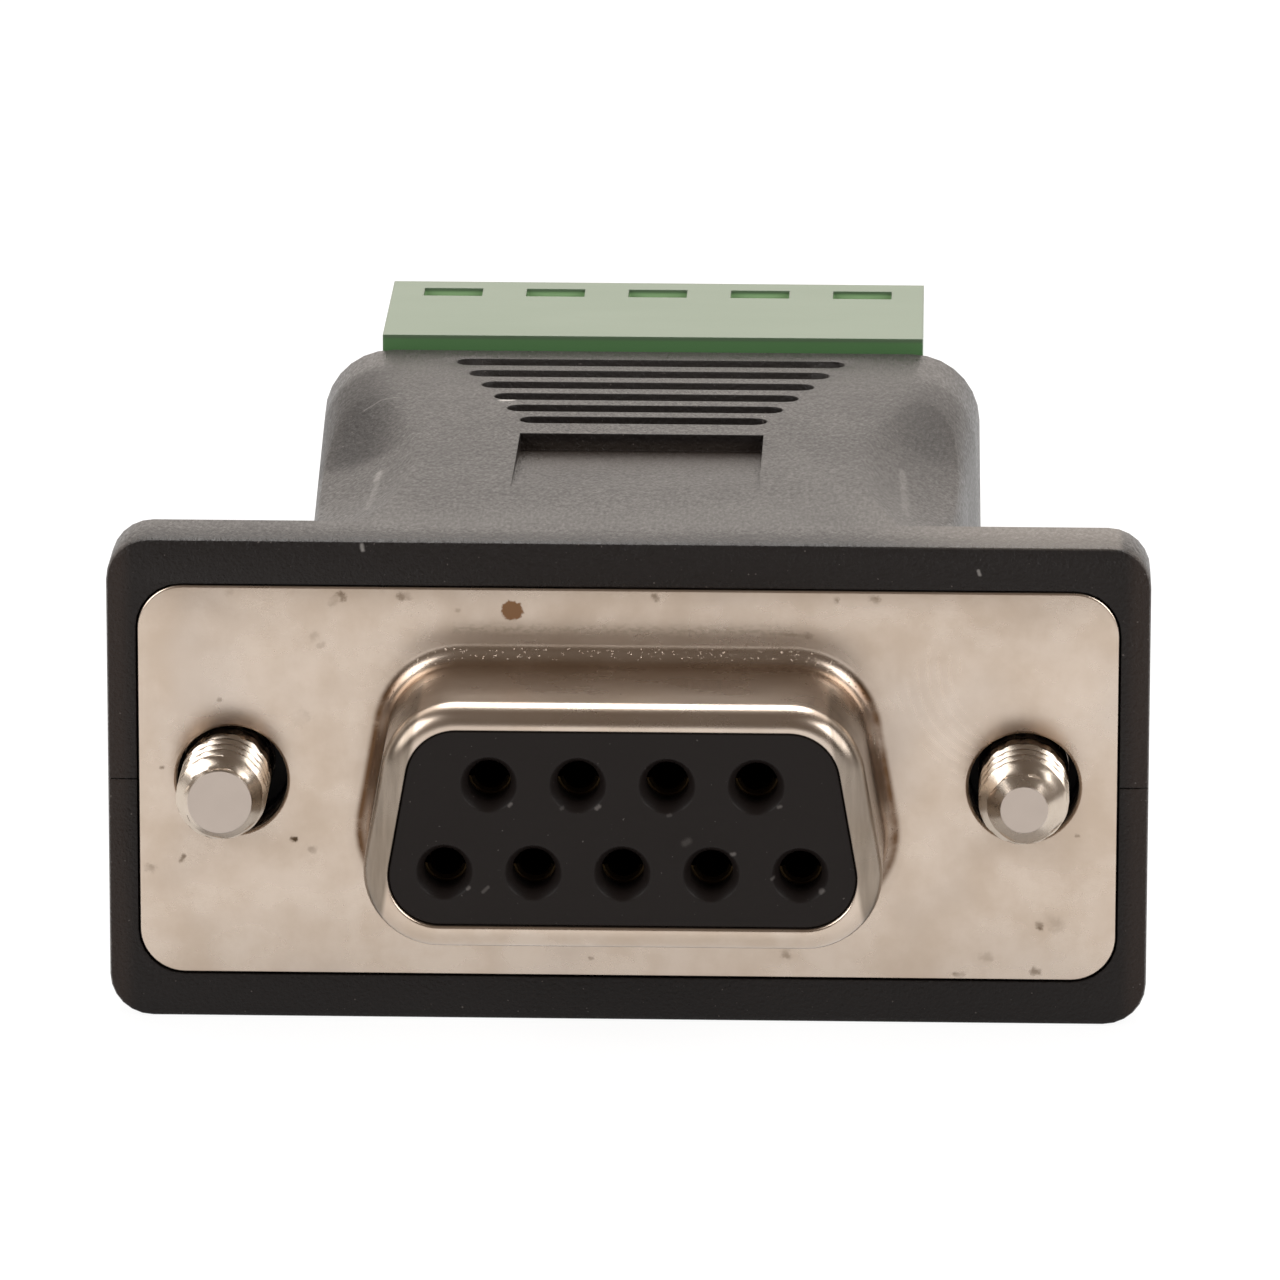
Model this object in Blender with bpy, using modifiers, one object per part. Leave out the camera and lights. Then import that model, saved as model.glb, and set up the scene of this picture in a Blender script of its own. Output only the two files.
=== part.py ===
"""Adapter from a nine-way D-sub socket to a five-way pluggable terminal header.

Metres, +Z up. The mating face looks along -Y, and the terminal header along +Y. The pieces are modelled about
the middle of the metal plate's front face, and one empty carries them all, so that the part stands on the
lower edge of its flange with its origin at the bottom centre of its box.
"""

import math

import bmesh
import bpy
from mathutils import Matrix, Vector

# Clearance between two pieces that touch, and between the two half shells
SEAT_GAP = 0.0001
PARTING_GAP = 0.00004

# D-sub plate and screws
PLATE_WIDTH = 0.03081
PLATE_HEIGHT = 0.0126
PLATE_CORNER = 0.00145
PLATE_THICK = 0.0005
PLATE_HOLE_RADIUS = 0.00175
SCREW_SPACING = 0.02499

# D-shaped collar of the front metal shell, outside sizes
COLLAR_WIDTH = 0.0162
COLLAR_HEIGHT = 0.0079
COLLAR_CORNER = 0.0024
COLLAR_SLOPE = math.radians(10)
COLLAR_REACH = 0.00535
COLLAR_WALL = 0.0004
COLLAR_LIP = 0.0008
COLLAR_FOOT_FILLET = 0.0006
COLLAR_RIM_RADIUS = 0.0007

# Clinch tabs that fold over the rear metal shell
TAB_WIDTH = 0.003
TAB_SPACING = 0.0145
TAB_FOLD = 0.0013

# Rear metal shell
REAR_PLATE_WIDTH = 0.0298
CUP_CLEAR = 0.0005
CUP_WALL = 0.0004
CUP_DEPTH = 0.0037
CUP_FILLET = 0.0004

# Insulators
FACE_SETBACK = 0.0001
INSULATOR_CLEAR = 0.0001
INSULATOR_RIM = 0.0004
FRONT_RIM_THICK = 0.0014
REAR_RIM_THICK = 0.0017
REAR_TAIL = 0.0017
REAR_TAIL_INSET = 0.0004

# Socket contacts
CONTACT_PITCH = 0.00277
ROW_SPACING = 0.00284
LEAD_IN_RADIUS = 0.00085
LEAD_IN_DEPTH = 0.0004
ENTRY_RADIUS = 0.00067
ENTRY_LENGTH = 0.0009
BARREL_RADIUS = 0.0008
BARREL_BORE = 0.00052
BARREL_BORE_DEPTH = 0.0052
CONTACT_RING_RADIUS = 0.00105
CONTACT_RING_LENGTH = 0.0006
STEM_RADIUS = 0.00065
CUP_RADIUS = 0.00057
CUP_BORE = 0.00038
CUP_BORE_DEPTH = 0.0019
CUP_LENGTH = 0.0027

# Plastic flange and body of the two half shells
FLANGE_WIDTH = 0.03285
FLANGE_HEIGHT = 0.01565
FLANGE_DEPTH = 0.0027
FLANGE_CORNER = 0.00135
FLANGE_EDGE = 0.00018
BODY_LENGTH = 0.0268
BODY_FRONT_WIDTH = 0.0207
BODY_REAR_WIDTH = 0.0223
BODY_SIDE_DRAFT = 0.02
BODY_REAR_DROP = 0.00025
BODY_CORNER = 0.00225
BODY_REAR_EDGE = 0.0003
BODY_WALL = 0.0013
REAR_WALL = 0.0014

# Grip grooves and the wedge-shaped recess in front of them
GROOVE_COUNT = 6
GROOVE_PITCH = 0.00165
GROOVE_WIDTH = 0.00095
GROOVE_DEPTH = 0.00045
GROOVE_FROM_REAR = 0.0020
GROOVE_LENGTH = 0.01305
GROOVE_STEP = 0.00098
RECESS_WIDTH = 0.00795
RECESS_LENGTH = 0.0076
RECESS_DEPTH = 0.00056
RECESS_BEHIND_GROOVE = 0.0019

# Finger dishes on the shoulders
DISH_RADII = (0.0078, 0.0177, 0.0055)
DISH_X = 0.0127
DISH_Y = 0.0112
DISH_Z = 0.01162

# Jackscrews in their side pockets
SCREW_RADIUS = 0.00142
SCREW_STANDOUT = 0.0026
SCREW_TIP_CHAMFER = 0.00045
SCREW_TIP_RADIUS = 0.00095
SCREW_PASSAGE_RADIUS = 0.00175
LEFT_SCREW_PLAY = 0.00022
KNOB_RADIUS = 0.0029
KNOB_LENGTH = 0.0079
KNOB_CHAMFER = 0.0004
KNOB_FLUTES = 14
KNOB_FLUTE_RADIUS = 0.0003
KNOB_SLOT_WIDTH = 0.0008
KNOB_SLOT_DEPTH = 0.0009
POCKET_FRONT = 0.0060
POCKET_PLAY = 0.0026
POCKET_CLEAR = 0.00042
POCKET_END_CLEAR = 0.0003

# Circuit board and the posts that hold it
BOARD_WIDTH = 0.0158
BOARD_THICK = 0.0016
BOARD_FRONT_CLEAR = 0.0004
BOARD_CORNER = 0.0005
CAVITY_HALF_HEIGHT = 0.0056
CAVITY_SIDE_WALL = 0.00095
POST_SPACING = 0.0112
POST_FRONT = 0.0124
POST_PITCH = 0.0076
POST_RADIUS = 0.0014
PEG_RADIUS = 0.0008
PEG_REACH = 0.0024

# Terminal header, five poles
POLES = 5
POLE_PITCH = 0.0035
HEADER_END_WALL = 0.00035
HEADER_HEIGHT = 0.00708
HEADER_DEPTH = 0.00785
HEADER_SIDE_WALL = 0.0009
HEADER_TOP_WALL = 0.0009
HEADER_FLOOR = 0.0010
HEADER_BACK_WALL = 0.0013
HEADER_FOOT_DEPTH = 0.0013
HEADER_FOOT_HEIGHT = 0.0046
HEADER_FOOT_WIDTH = 0.0168
HEADER_RIB_WIDTH = 0.0007
HEADER_RIB_HEIGHT = 0.0006
WINDOW_WIDTH = 0.0020
WINDOW_DEPTH = 0.0011
WINDOW_FROM_EDGE = 0.00155
PIN_THICK = 0.0008
PIN_HEIGHT = 0.0028
PIN_SETBACK = 0.0015
PIN_OUT = 0.0010
PIN_TAIL = 0.0016
PIN_POINT = 0.0003
PIN_HOLE_RADIUS = 0.00065
OPENING_BELOW_BOARD = 0.0004
OPENING_WIDTH = 0.0172

# Facets of the round forms, and how they are shaded and welded
ROUND_FACETS = 24
POCKET_FACETS = 40
SMALL_FACETS = 16
BORE_FACETS = 12
CONTACT_FACETS = 10
FLUTE_FACETS = 6
CORNER_STEPS = 6
COLLAR_STEPS = 6
FOLD_STEPS = 4
RIM_STEPS = 5
SHOULDER_STEPS = 7
EDGE_STEPS = 2
REAR_EDGE_STEPS = 3
DISH_FACETS = 56
DISH_RINGS = 34
SMOOTH_ANGLE = math.radians(35)
FLAT_ANGLE = math.radians(0.5)
WELD_DISTANCE = 0.0000001
TURN_MERGE = 0.000001

# Sizes that follow from those above
BOARD_TOP = BOARD_THICK / 2
HEADER_FRONT = BODY_LENGTH + SEAT_GAP
HEADER_END = HEADER_FRONT + HEADER_DEPTH
HEADER_BOTTOM = BOARD_TOP + SEAT_GAP
HEADER_WIDTH = POLES * POLE_PITCH + 2 * HEADER_END_WALL
REAR_PLATE_FRONT = PLATE_THICK + SEAT_GAP
REAR_PLATE_BACK = REAR_PLATE_FRONT + PLATE_THICK
REAR_PLATE_HEIGHT = PLATE_HEIGHT - 2 * (PLATE_THICK + SEAT_GAP)
TAB_FRONT = REAR_PLATE_BACK + SEAT_GAP
TAB_BACK = TAB_FRONT + COLLAR_WALL
POCKET_FLOOR = TAB_BACK + SEAT_GAP
FACE_Y = -COLLAR_REACH + FACE_SETBACK
FRONT_RIM_BACK = REAR_PLATE_FRONT + FRONT_RIM_THICK
REAR_RIM_FRONT = FRONT_RIM_BACK + SEAT_GAP
REAR_RIM_BACK = REAR_RIM_FRONT + REAR_RIM_THICK
CUP_END = REAR_PLATE_FRONT + CUP_DEPTH
INSULATOR_END = REAR_RIM_BACK + REAR_TAIL
BOARD_FRONT = INSULATOR_END + BOARD_FRONT_CLEAR
BOARD_END = BODY_LENGTH - SEAT_GAP
KNOB_BACK = POCKET_FRONT + POCKET_PLAY + KNOB_LENGTH
POCKET_END = KNOB_BACK + POCKET_END_CLEAR
FLANGE_TOP = FLANGE_HEIGHT / 2
BODY_TOP_STEP = 0.00002
GROOVE_REAR = BODY_LENGTH - GROOVE_FROM_REAR
RECESS_BACK = GROOVE_REAR - (GROOVE_COUNT - 1) * GROOVE_PITCH - RECESS_BEHIND_GROOVE
PLATE_Y = (COLLAR_REACH - HEADER_END) / 2

for old in list(bpy.data.objects):
    bpy.data.objects.remove(old, do_unlink=True)
model = bpy.data.collections.new("dsub_terminal_adapter")
cutters = bpy.data.collections.new("cutters")
bpy.context.scene.collection.children.link(model)
bpy.context.scene.collection.children.link(cutters)
frame_empty = bpy.data.objects.new("adapter", None)
model.objects.link(frame_empty)
frame_empty.location = (0, PLATE_Y, FLANGE_TOP)


def plain_material(name, colour, roughness, metallic=0.0):
    """A Principled material of one colour."""
    material = bpy.data.materials.new(name)
    material.use_nodes = True
    shader = material.node_tree.nodes["Principled BSDF"]
    shader.inputs["Base Color"].default_value = (*colour, 1)
    shader.inputs["Roughness"].default_value = roughness
    shader.inputs["Metallic"].default_value = metallic
    return material


def add_object(name, mesh, material=None, helper=False):
    """Puts a mesh in the scene, under the empty. A helper only cuts or joins."""
    made = bpy.data.objects.new(name, mesh)
    made.parent = frame_empty
    if helper:
        cutters.objects.link(made)
        made.hide_render = True
        made.display_type = "WIRE"
    else:
        model.objects.link(made)
    if material:
        made.data.materials.append(material)
    return made


def shade(bm):
    """Shades the curved faces smooth between sharp edges, and leaves the flat ones flat."""
    for face in bm.faces:
        face.smooth = False
    for edge in bm.edges:
        angle = edge.calc_face_angle(math.pi)
        edge.smooth = angle < SMOOTH_ANGLE
        if FLAT_ANGLE < angle < SMOOTH_ANGLE:
            for face in edge.link_faces:
                face.smooth = True


def mesh_from(bm, name):
    """Turns a bmesh into a mesh with its faces pointing out."""
    bmesh.ops.recalc_face_normals(bm, faces=bm.faces)
    shade(bm)
    mesh = bpy.data.meshes.new(name)
    bm.to_mesh(mesh)
    bm.free()
    return mesh


def box_mesh(name, low, high):
    """A box between two corners."""
    bm = bmesh.new()
    bmesh.ops.create_cube(bm, size=1)
    size = Vector(high) - Vector(low)
    middle = (Vector(high) + Vector(low)) / 2
    bmesh.ops.transform(bm, matrix=Matrix.Translation(middle) @ Matrix.Diagonal((*size, 1)), verts=bm.verts)
    return mesh_from(bm, name)


def rod_mesh(name, radius, y_start, y_end, segments, x, z=0.0):
    """A cylinder along Y."""
    bm = bmesh.new()
    bmesh.ops.create_cone(
        bm, cap_ends=True, segments=segments, radius1=radius, radius2=radius, depth=y_end - y_start
    )
    turn = Matrix.Rotation(math.radians(90), 4, "X")
    place = Matrix.Translation((x, (y_start + y_end) / 2, z))
    bmesh.ops.transform(bm, matrix=place @ turn, verts=bm.verts)
    return mesh_from(bm, name)


def post_mesh(name, radius, z_start, z_end, x, y):
    """A cylinder along Z."""
    bm = bmesh.new()
    bmesh.ops.create_cone(
        bm, cap_ends=True, segments=SMALL_FACETS, radius1=radius, radius2=radius, depth=z_end - z_start
    )
    bmesh.ops.translate(bm, vec=(x, y, (z_start + z_end) / 2), verts=bm.verts)
    return mesh_from(bm, name)


def arc(centre, radius, start, end, steps):
    """Points of an arc, its angles in degrees."""
    points = []
    for step in range(steps + 1):
        angle = math.radians(start + (end - start) * step / steps)
        points.append((centre[0] + radius * math.cos(angle), centre[1] + radius * math.sin(angle)))
    return points


def rounded_rectangle(width, height, radius, steps=CORNER_STEPS):
    """Outline of a rectangle with rounded corners, about its middle."""
    x = width / 2 - radius
    z = height / 2 - radius
    outline = []
    for number, (cx, cz) in enumerate(((x, z), (-x, z), (-x, -z), (x, -z))):
        outline += arc((cx, cz), radius, 90 * number, 90 * number + 90, steps)
    return outline


def circle(x, z, radius, steps=ROUND_FACETS):
    """Outline of a circle."""
    return arc((x, z), radius, 0, 360, steps)[:-1]


def d_outline(offset, steps=COLLAR_STEPS):
    """The D-shaped outline of the collar, moved outwards by the offset. Its wide side is below."""
    radius = COLLAR_CORNER + offset
    low_z = COLLAR_CORNER - COLLAR_HEIGHT / 2
    low_x = COLLAR_WIDTH / 2 - COLLAR_CORNER
    top_x = low_x - 2 * -low_z * math.tan(COLLAR_SLOPE)
    slope = math.degrees(COLLAR_SLOPE)
    outline = arc((low_x, low_z), radius, -90, slope, steps)
    outline += arc((top_x, -low_z), radius, slope, 90, steps)
    outline += arc((-top_x, -low_z), radius, 90, 180 - slope, steps)
    outline += arc((-low_x, low_z), radius, 180 - slope, 270, steps)
    return outline


def d_loft(name, sections, ring=False):
    """A loft of D outlines, one for each (offset, y). A ring joins the last section to the first."""
    bm = bmesh.new()
    loops = []
    for offset, y in sections:
        loops.append([bm.verts.new((x, y, z)) for x, z in d_outline(offset)])
    pairs = list(zip(loops, loops[1:]))
    if ring:
        pairs.append((loops[-1], loops[0]))
    for first, second in pairs:
        for number in range(len(first)):
            after = (number + 1) % len(first)
            bm.faces.new((first[number], first[after], second[after], second[number]))
    if not ring:
        bm.faces.new(loops[0])
        bm.faces.new(loops[-1])
    return mesh_from(bm, name)


def flat_mesh(name, outlines, low, high, upright=True):
    """Outlines filled and extruded from low to high: along Y when upright, or else along Z."""
    curve = bpy.data.curves.new(name, "CURVE")
    curve.dimensions = "2D"
    curve.fill_mode = "BOTH"
    curve.extrude = (high - low) / 2
    for outline in outlines:
        spline = curve.splines.new("POLY")
        spline.points.add(len(outline) - 1)
        for point, (u, v) in zip(spline.points, outline):
            point.co = (u, v, 0, 1)
        spline.use_cyclic_u = True
    guide = bpy.data.objects.new(name, curve)
    bpy.context.scene.collection.objects.link(guide)
    graph = bpy.context.evaluated_depsgraph_get()
    mesh = bpy.data.meshes.new_from_object(guide.evaluated_get(graph))
    bpy.data.objects.remove(guide, do_unlink=True)
    bm = bmesh.new()
    bm.from_mesh(mesh)
    bpy.data.meshes.remove(mesh)
    bmesh.ops.remove_doubles(bm, verts=bm.verts, dist=WELD_DISTANCE)
    middle = (low + high) / 2
    matrix = Matrix.Translation((0, 0, middle))
    if upright:
        matrix = Matrix.Translation((0, middle, 0)) @ Matrix.Rotation(math.radians(90), 4, "X")
    bmesh.ops.transform(bm, matrix=matrix, verts=bm.verts)
    return mesh_from(bm, name)


def side_mesh(name, outline, half_width, x=0.0):
    """An outline in Y and Z, extruded along X to both sides of x."""
    mesh = flat_mesh(name, [outline], -half_width, half_width, upright=False)
    turn = Matrix(((0, 0, 1, x), (1, 0, 0, 0), (0, 1, 0, 0), (0, 0, 0, 1)))
    mesh.transform(turn)
    return mesh


def turned_mesh(name, profile, steps):
    """A solid turned about the Y axis from (radius, y) points that run along its outer side."""
    mesh = bpy.data.meshes.new(name)
    points = [(radius, y, 0) for radius, y in profile]
    mesh.from_pydata(points, [(n, n + 1) for n in range(len(points) - 1)], [])
    guide = bpy.data.objects.new(name, mesh)
    bpy.context.scene.collection.objects.link(guide)
    screw = guide.modifiers.new("Turn", "SCREW")
    screw.axis = "Y"
    screw.steps = steps
    screw.render_steps = steps
    screw.use_merge_vertices = True
    screw.merge_threshold = TURN_MERGE
    graph = bpy.context.evaluated_depsgraph_get()
    solid = bpy.data.meshes.new_from_object(guide.evaluated_get(graph))
    bpy.data.objects.remove(guide, do_unlink=True)
    bm = bmesh.new()
    bm.from_mesh(solid)
    bpy.data.meshes.remove(solid)
    bpy.data.meshes.remove(mesh)
    return mesh_from(bm, name)


def combine(target, tool, operation="DIFFERENCE"):
    """Cuts one object, or each object of a collection, from the target, or joins it to the target."""
    change = target.modifiers.new(tool.name, "BOOLEAN")
    change.operation = operation
    change.solver = "EXACT"
    if isinstance(tool, bpy.types.Collection):
        change.operand_type = "COLLECTION"
        change.collection = tool
    else:
        change.object = tool


def cut(target, name, mesh):
    """Cuts a mesh from the target."""
    combine(target, add_object(name, mesh, helper=True))


def join(target, name, mesh):
    """Joins a mesh to the target."""
    combine(target, add_object(name, mesh, helper=True), "UNION")


def mirrored(mesh, side):
    """Returns the mesh of the upper half, turned over for the lower one."""
    if side < 0:
        bm = bmesh.new()
        bm.from_mesh(mesh)
        bmesh.ops.scale(bm, vec=(1, 1, -1), verts=bm.verts)
        bmesh.ops.recalc_face_normals(bm, faces=bm.faces)
        bm.to_mesh(mesh)
        bm.free()
    return mesh


def body_half_width(y):
    """Half the body's width at the parting line, which grows towards the rear."""
    share = (y - FLANGE_DEPTH) / (BODY_LENGTH - FLANGE_DEPTH)
    return (BODY_FRONT_WIDTH + (BODY_REAR_WIDTH - BODY_FRONT_WIDTH) * share) / 2


def body_top(y):
    """Height of the body's top, which falls towards the rear."""
    share = (y - FLANGE_DEPTH) / (BODY_LENGTH - FLANGE_DEPTH)
    return FLANGE_TOP - BODY_TOP_STEP - BODY_REAR_DROP * share


def body_mesh(name):
    """The upper half of the body: a tapered block with rolled shoulders and a rounded rear edge."""
    bm = bmesh.new()
    bmesh.ops.create_cube(bm, size=1)
    bottom = PARTING_GAP / 2
    for vert in bm.verts:
        y = BODY_LENGTH if vert.co.y > 0 else FLANGE_DEPTH / 2
        z = body_top(y) if vert.co.z > 0 else bottom
        x = body_half_width(y) - BODY_SIDE_DRAFT * z
        vert.co = (math.copysign(x, vert.co.x), y, z)
    middle_height = (FLANGE_TOP + bottom) / 2
    shoulders = [e for e in bm.edges if all(v.co.z > middle_height for v in e.verts) and is_long(e)]
    round_edges(bm, shoulders, BODY_CORNER, SHOULDER_STEPS)
    rear = [e for e in bm.edges if is_rear(e) and not is_flat_low(e, bottom)]
    round_edges(bm, rear, BODY_REAR_EDGE, REAR_EDGE_STEPS)
    return mesh_from(bm, name)


def round_edges(bm, edges, radius, steps):
    """Rounds edges of a mesh in the making."""
    bmesh.ops.bevel(bm, geom=edges, offset=radius, segments=steps, profile=0.5, affect="EDGES")


def is_long(edge):
    """True for an edge that runs from the flange to the rear."""
    return abs(edge.verts[0].co.y - edge.verts[1].co.y) > BODY_LENGTH / 2


def is_level(edge):
    """True for an edge that keeps its distance from the plate."""
    return abs(edge.verts[0].co.y - edge.verts[1].co.y) < SEAT_GAP / 10


def is_rear(edge):
    """True for an edge of the body's rear face."""
    return all(abs(v.co.y - BODY_LENGTH) < SEAT_GAP / 10 for v in edge.verts)


def is_flat_low(edge, height):
    """True for an edge that lies on the parting plane."""
    return all(abs(v.co.z - height) < SEAT_GAP / 10 for v in edge.verts)


def flange_mesh(name):
    """The upper half of the flange, its top corners rounded."""
    x = FLANGE_WIDTH / 2
    corner_x = x - FLANGE_CORNER
    corner_z = FLANGE_TOP - FLANGE_CORNER
    outline = [(-x, PARTING_GAP / 2), (x, PARTING_GAP / 2)]
    outline += arc((corner_x, corner_z), FLANGE_CORNER, 0, 90, CORNER_STEPS)
    outline += arc((-corner_x, corner_z), FLANGE_CORNER, 90, 180, CORNER_STEPS)
    mesh = flat_mesh(name, [outline], 0, FLANGE_DEPTH)
    bm = bmesh.new()
    bm.from_mesh(mesh)
    bpy.data.meshes.remove(mesh)
    bmesh.ops.dissolve_limit(bm, angle_limit=FLAT_ANGLE, verts=bm.verts, edges=bm.edges)
    rims = [e for e in bm.edges if not is_long(e) and not is_flat_low(e, PARTING_GAP / 2) and is_level(e)]
    round_edges(bm, rims, FLANGE_EDGE, EDGE_STEPS)
    return mesh_from(bm, name)


def dish_mesh(name, side_x):
    """The finger dish: an ellipsoid that dips into one shoulder."""
    bm = bmesh.new()
    bmesh.ops.create_uvsphere(bm, u_segments=DISH_FACETS, v_segments=DISH_RINGS, radius=1)
    matrix = Matrix.Translation((side_x * DISH_X, DISH_Y, DISH_Z)) @ Matrix.Diagonal((*DISH_RADII, 1))
    bmesh.ops.transform(bm, matrix=matrix, verts=bm.verts)
    return mesh_from(bm, name)


def groove_mesh(name, number):
    """One grip groove with round ends. The grooves shorten towards the socket."""
    y = GROOVE_REAR - number * GROOVE_PITCH
    reach = (GROOVE_LENGTH - number * GROOVE_STEP - GROOVE_WIDTH) / 2
    outline = arc((reach, y), GROOVE_WIDTH / 2, -90, 90, CORNER_STEPS)
    outline += arc((-reach, y), GROOVE_WIDTH / 2, 90, 270, CORNER_STEPS)
    floor = body_top(y) - GROOVE_DEPTH
    return flat_mesh(name, [outline], floor, floor + GROOVE_DEPTH + BODY_WALL, upright=False)


def recess_mesh(name):
    """The wedge-shaped recess: a ramp that falls towards the rear and ends at a step."""
    front = RECESS_BACK - RECESS_LENGTH
    above = FLANGE_TOP + BODY_WALL
    outline = [
        (front, body_top(front)),
        (RECESS_BACK, body_top(RECESS_BACK) - RECESS_DEPTH),
        (RECESS_BACK, above),
        (front - RECESS_DEPTH, above),
    ]
    return side_mesh(name, outline, RECESS_WIDTH / 2)


def cavity_meshes():
    """The room inside: wide behind the flange, narrow between the pockets and wide again at the rear."""
    overlap = SEAT_GAP
    front_half = COLLAR_WIDTH / 2 + CUP_CLEAR + CUP_WALL + 2 * SEAT_GAP
    waist_half = SCREW_SPACING / 2 - KNOB_RADIUS - POCKET_CLEAR - CAVITY_SIDE_WALL
    rear_half = body_half_width(POCKET_END) - BODY_SIDE_DRAFT * CAVITY_HALF_HEIGHT - BODY_WALL
    low = -SEAT_GAP
    top = CAVITY_HALF_HEIGHT
    waist_start = POCKET_FRONT - CAVITY_SIDE_WALL
    waist_end = POCKET_END + CAVITY_SIDE_WALL
    rear_end = BODY_LENGTH - REAR_WALL
    return {
        "front_room": box_mesh("front_room", (-front_half, 0, low), (front_half, waist_start, top)),
        "waist_room": box_mesh(
            "waist_room", (-waist_half, waist_start - overlap, low), (waist_half, waist_end + overlap, top)
        ),
        "rear_room": box_mesh("rear_room", (-rear_half, waist_end, low), (rear_half, rear_end, top)),
    }


def post_places():
    """Middles of the four posts."""
    places = []
    for number in range(2):
        y = POST_FRONT + number * POST_PITCH
        places += [(-POST_SPACING / 2, y), (POST_SPACING / 2, y)]
    return places


def half_shell(name, side, material):
    """One half of the housing. The upper half has the sockets, and the lower half the pegs."""
    shell = add_object(name, mirrored(flange_mesh(name), side), material)
    body = add_object(name + "_body", mirrored(body_mesh(name + "_body"), side), helper=True)
    for label, side_x in (("left", -1), ("right", 1)):
        dish_name = f"{name}_{label}_dish"
        cut(body, dish_name, mirrored(dish_mesh(dish_name, side_x), side))
    combine(shell, body, "UNION")
    for number in range(GROOVE_COUNT):
        groove_name = f"{name}_groove_{number + 1}"
        cut(shell, groove_name, mirrored(groove_mesh(groove_name, number), side))
    cut(shell, name + "_recess", mirrored(recess_mesh(name + "_recess"), side))
    for label, mesh in cavity_meshes().items():
        cut(shell, f"{name}_{label}", mirrored(mesh, side))
    seat = rounded_rectangle(PLATE_WIDTH + 2 * SEAT_GAP, PLATE_HEIGHT + 2 * SEAT_GAP, PLATE_CORNER)
    cut(shell, name + "_plate_seat", flat_mesh(name + "_plate_seat", [seat], -FLANGE_DEPTH, POCKET_FLOOR))
    for label, side_x in (("left", -1), ("right", 1)):
        x = side_x * SCREW_SPACING / 2
        start = POCKET_FLOOR / 2
        end = POCKET_FRONT + SEAT_GAP
        passage = rod_mesh("passage", SCREW_PASSAGE_RADIUS, start, end, ROUND_FACETS, x)
        cut(shell, f"{name}_{label}_passage", passage)
        room = KNOB_RADIUS + POCKET_CLEAR
        pocket = rod_mesh("pocket", room, POCKET_FRONT, POCKET_END, POCKET_FACETS, x)
        cut(shell, f"{name}_{label}_pocket", pocket)
    opening_top = HEADER_BOTTOM + HEADER_FOOT_HEIGHT + SEAT_GAP
    opening_low = -BOARD_THICK / 2 - OPENING_BELOW_BOARD
    half = OPENING_WIDTH / 2
    start = BODY_LENGTH - REAR_WALL - SEAT_GAP
    end = BODY_LENGTH + REAR_WALL
    opening = box_mesh("opening", (-half, start, opening_low), (half, end, opening_top))
    cut(shell, name + "_header_opening", opening)
    ceiling = CAVITY_HALF_HEIGHT + SEAT_GAP
    for number, (x, y) in enumerate(post_places()):
        post_name = f"{name}_post_{number + 1}"
        low = BOARD_TOP + SEAT_GAP
        join(shell, post_name, mirrored(post_mesh(post_name, POST_RADIUS, low, ceiling, x, y), side))
        if side > 0:
            bore = post_mesh("socket", PEG_RADIUS + SEAT_GAP, 0, BOARD_TOP + PEG_REACH + SEAT_GAP, x, y)
            cut(shell, f"{name}_socket_{number + 1}", bore)
        else:
            peg = post_mesh("peg", PEG_RADIUS, -BOARD_THICK, BOARD_TOP + PEG_REACH, x, y)
            join(shell, f"{name}_peg_{number + 1}", peg)
    return shell


def front_metal_shell(material):
    """The plate with its drawn, D-shaped collar, rolled rim and four clinch tabs."""
    holes = [circle(side * SCREW_SPACING / 2, 0, PLATE_HOLE_RADIUS) for side in (-1, 1)]
    opening = d_outline(COLLAR_FOOT_FILLET / 2)
    plate = [rounded_rectangle(PLATE_WIDTH, PLATE_HEIGHT, PLATE_CORNER)] + holes + [opening]
    shell = add_object("dsub_front_shell", flat_mesh("dsub_front_shell", plate, 0, PLATE_THICK), material)
    foot = COLLAR_FOOT_FILLET
    rim = COLLAR_RIM_RADIUS
    front = -COLLAR_REACH
    sunk = SEAT_GAP / 4
    sections = arc((foot, sunk - foot), foot, 90, 180, FOLD_STEPS)
    sections += arc((-rim, front + rim), rim, 0, -90, RIM_STEPS)
    sections += [
        (-COLLAR_LIP, front + COLLAR_WALL / 4),
        (-COLLAR_LIP, front + COLLAR_WALL),
        (-rim, front + COLLAR_WALL),
        (-COLLAR_WALL, front + rim),
        (-COLLAR_WALL, 0),
        (0, PLATE_THICK / 2),
        (foot, PLATE_THICK / 2),
    ]
    outer = PLATE_HEIGHT / 2 - SEAT_GAP / 10
    inner = PLATE_HEIGHT / 2 - PLATE_THICK
    tab = [
        (PLATE_THICK / 2, outer),
        (PLATE_THICK / 2, inner),
        (TAB_FRONT, inner),
        (TAB_FRONT, outer - TAB_FOLD),
        (TAB_BACK, outer - TAB_FOLD),
        (TAB_BACK, outer),
    ]
    for number, (side_x, side_z) in enumerate(((-1, 1), (1, 1), (-1, -1), (1, -1))):
        mesh = side_mesh("tab", tab, TAB_WIDTH / 2, side_x * TAB_SPACING / 2)
        join(shell, f"tab_{number + 1}", mirrored(mesh, side_z))
    join(shell, "collar", d_loft("collar", sections, ring=True))
    return shell


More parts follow.
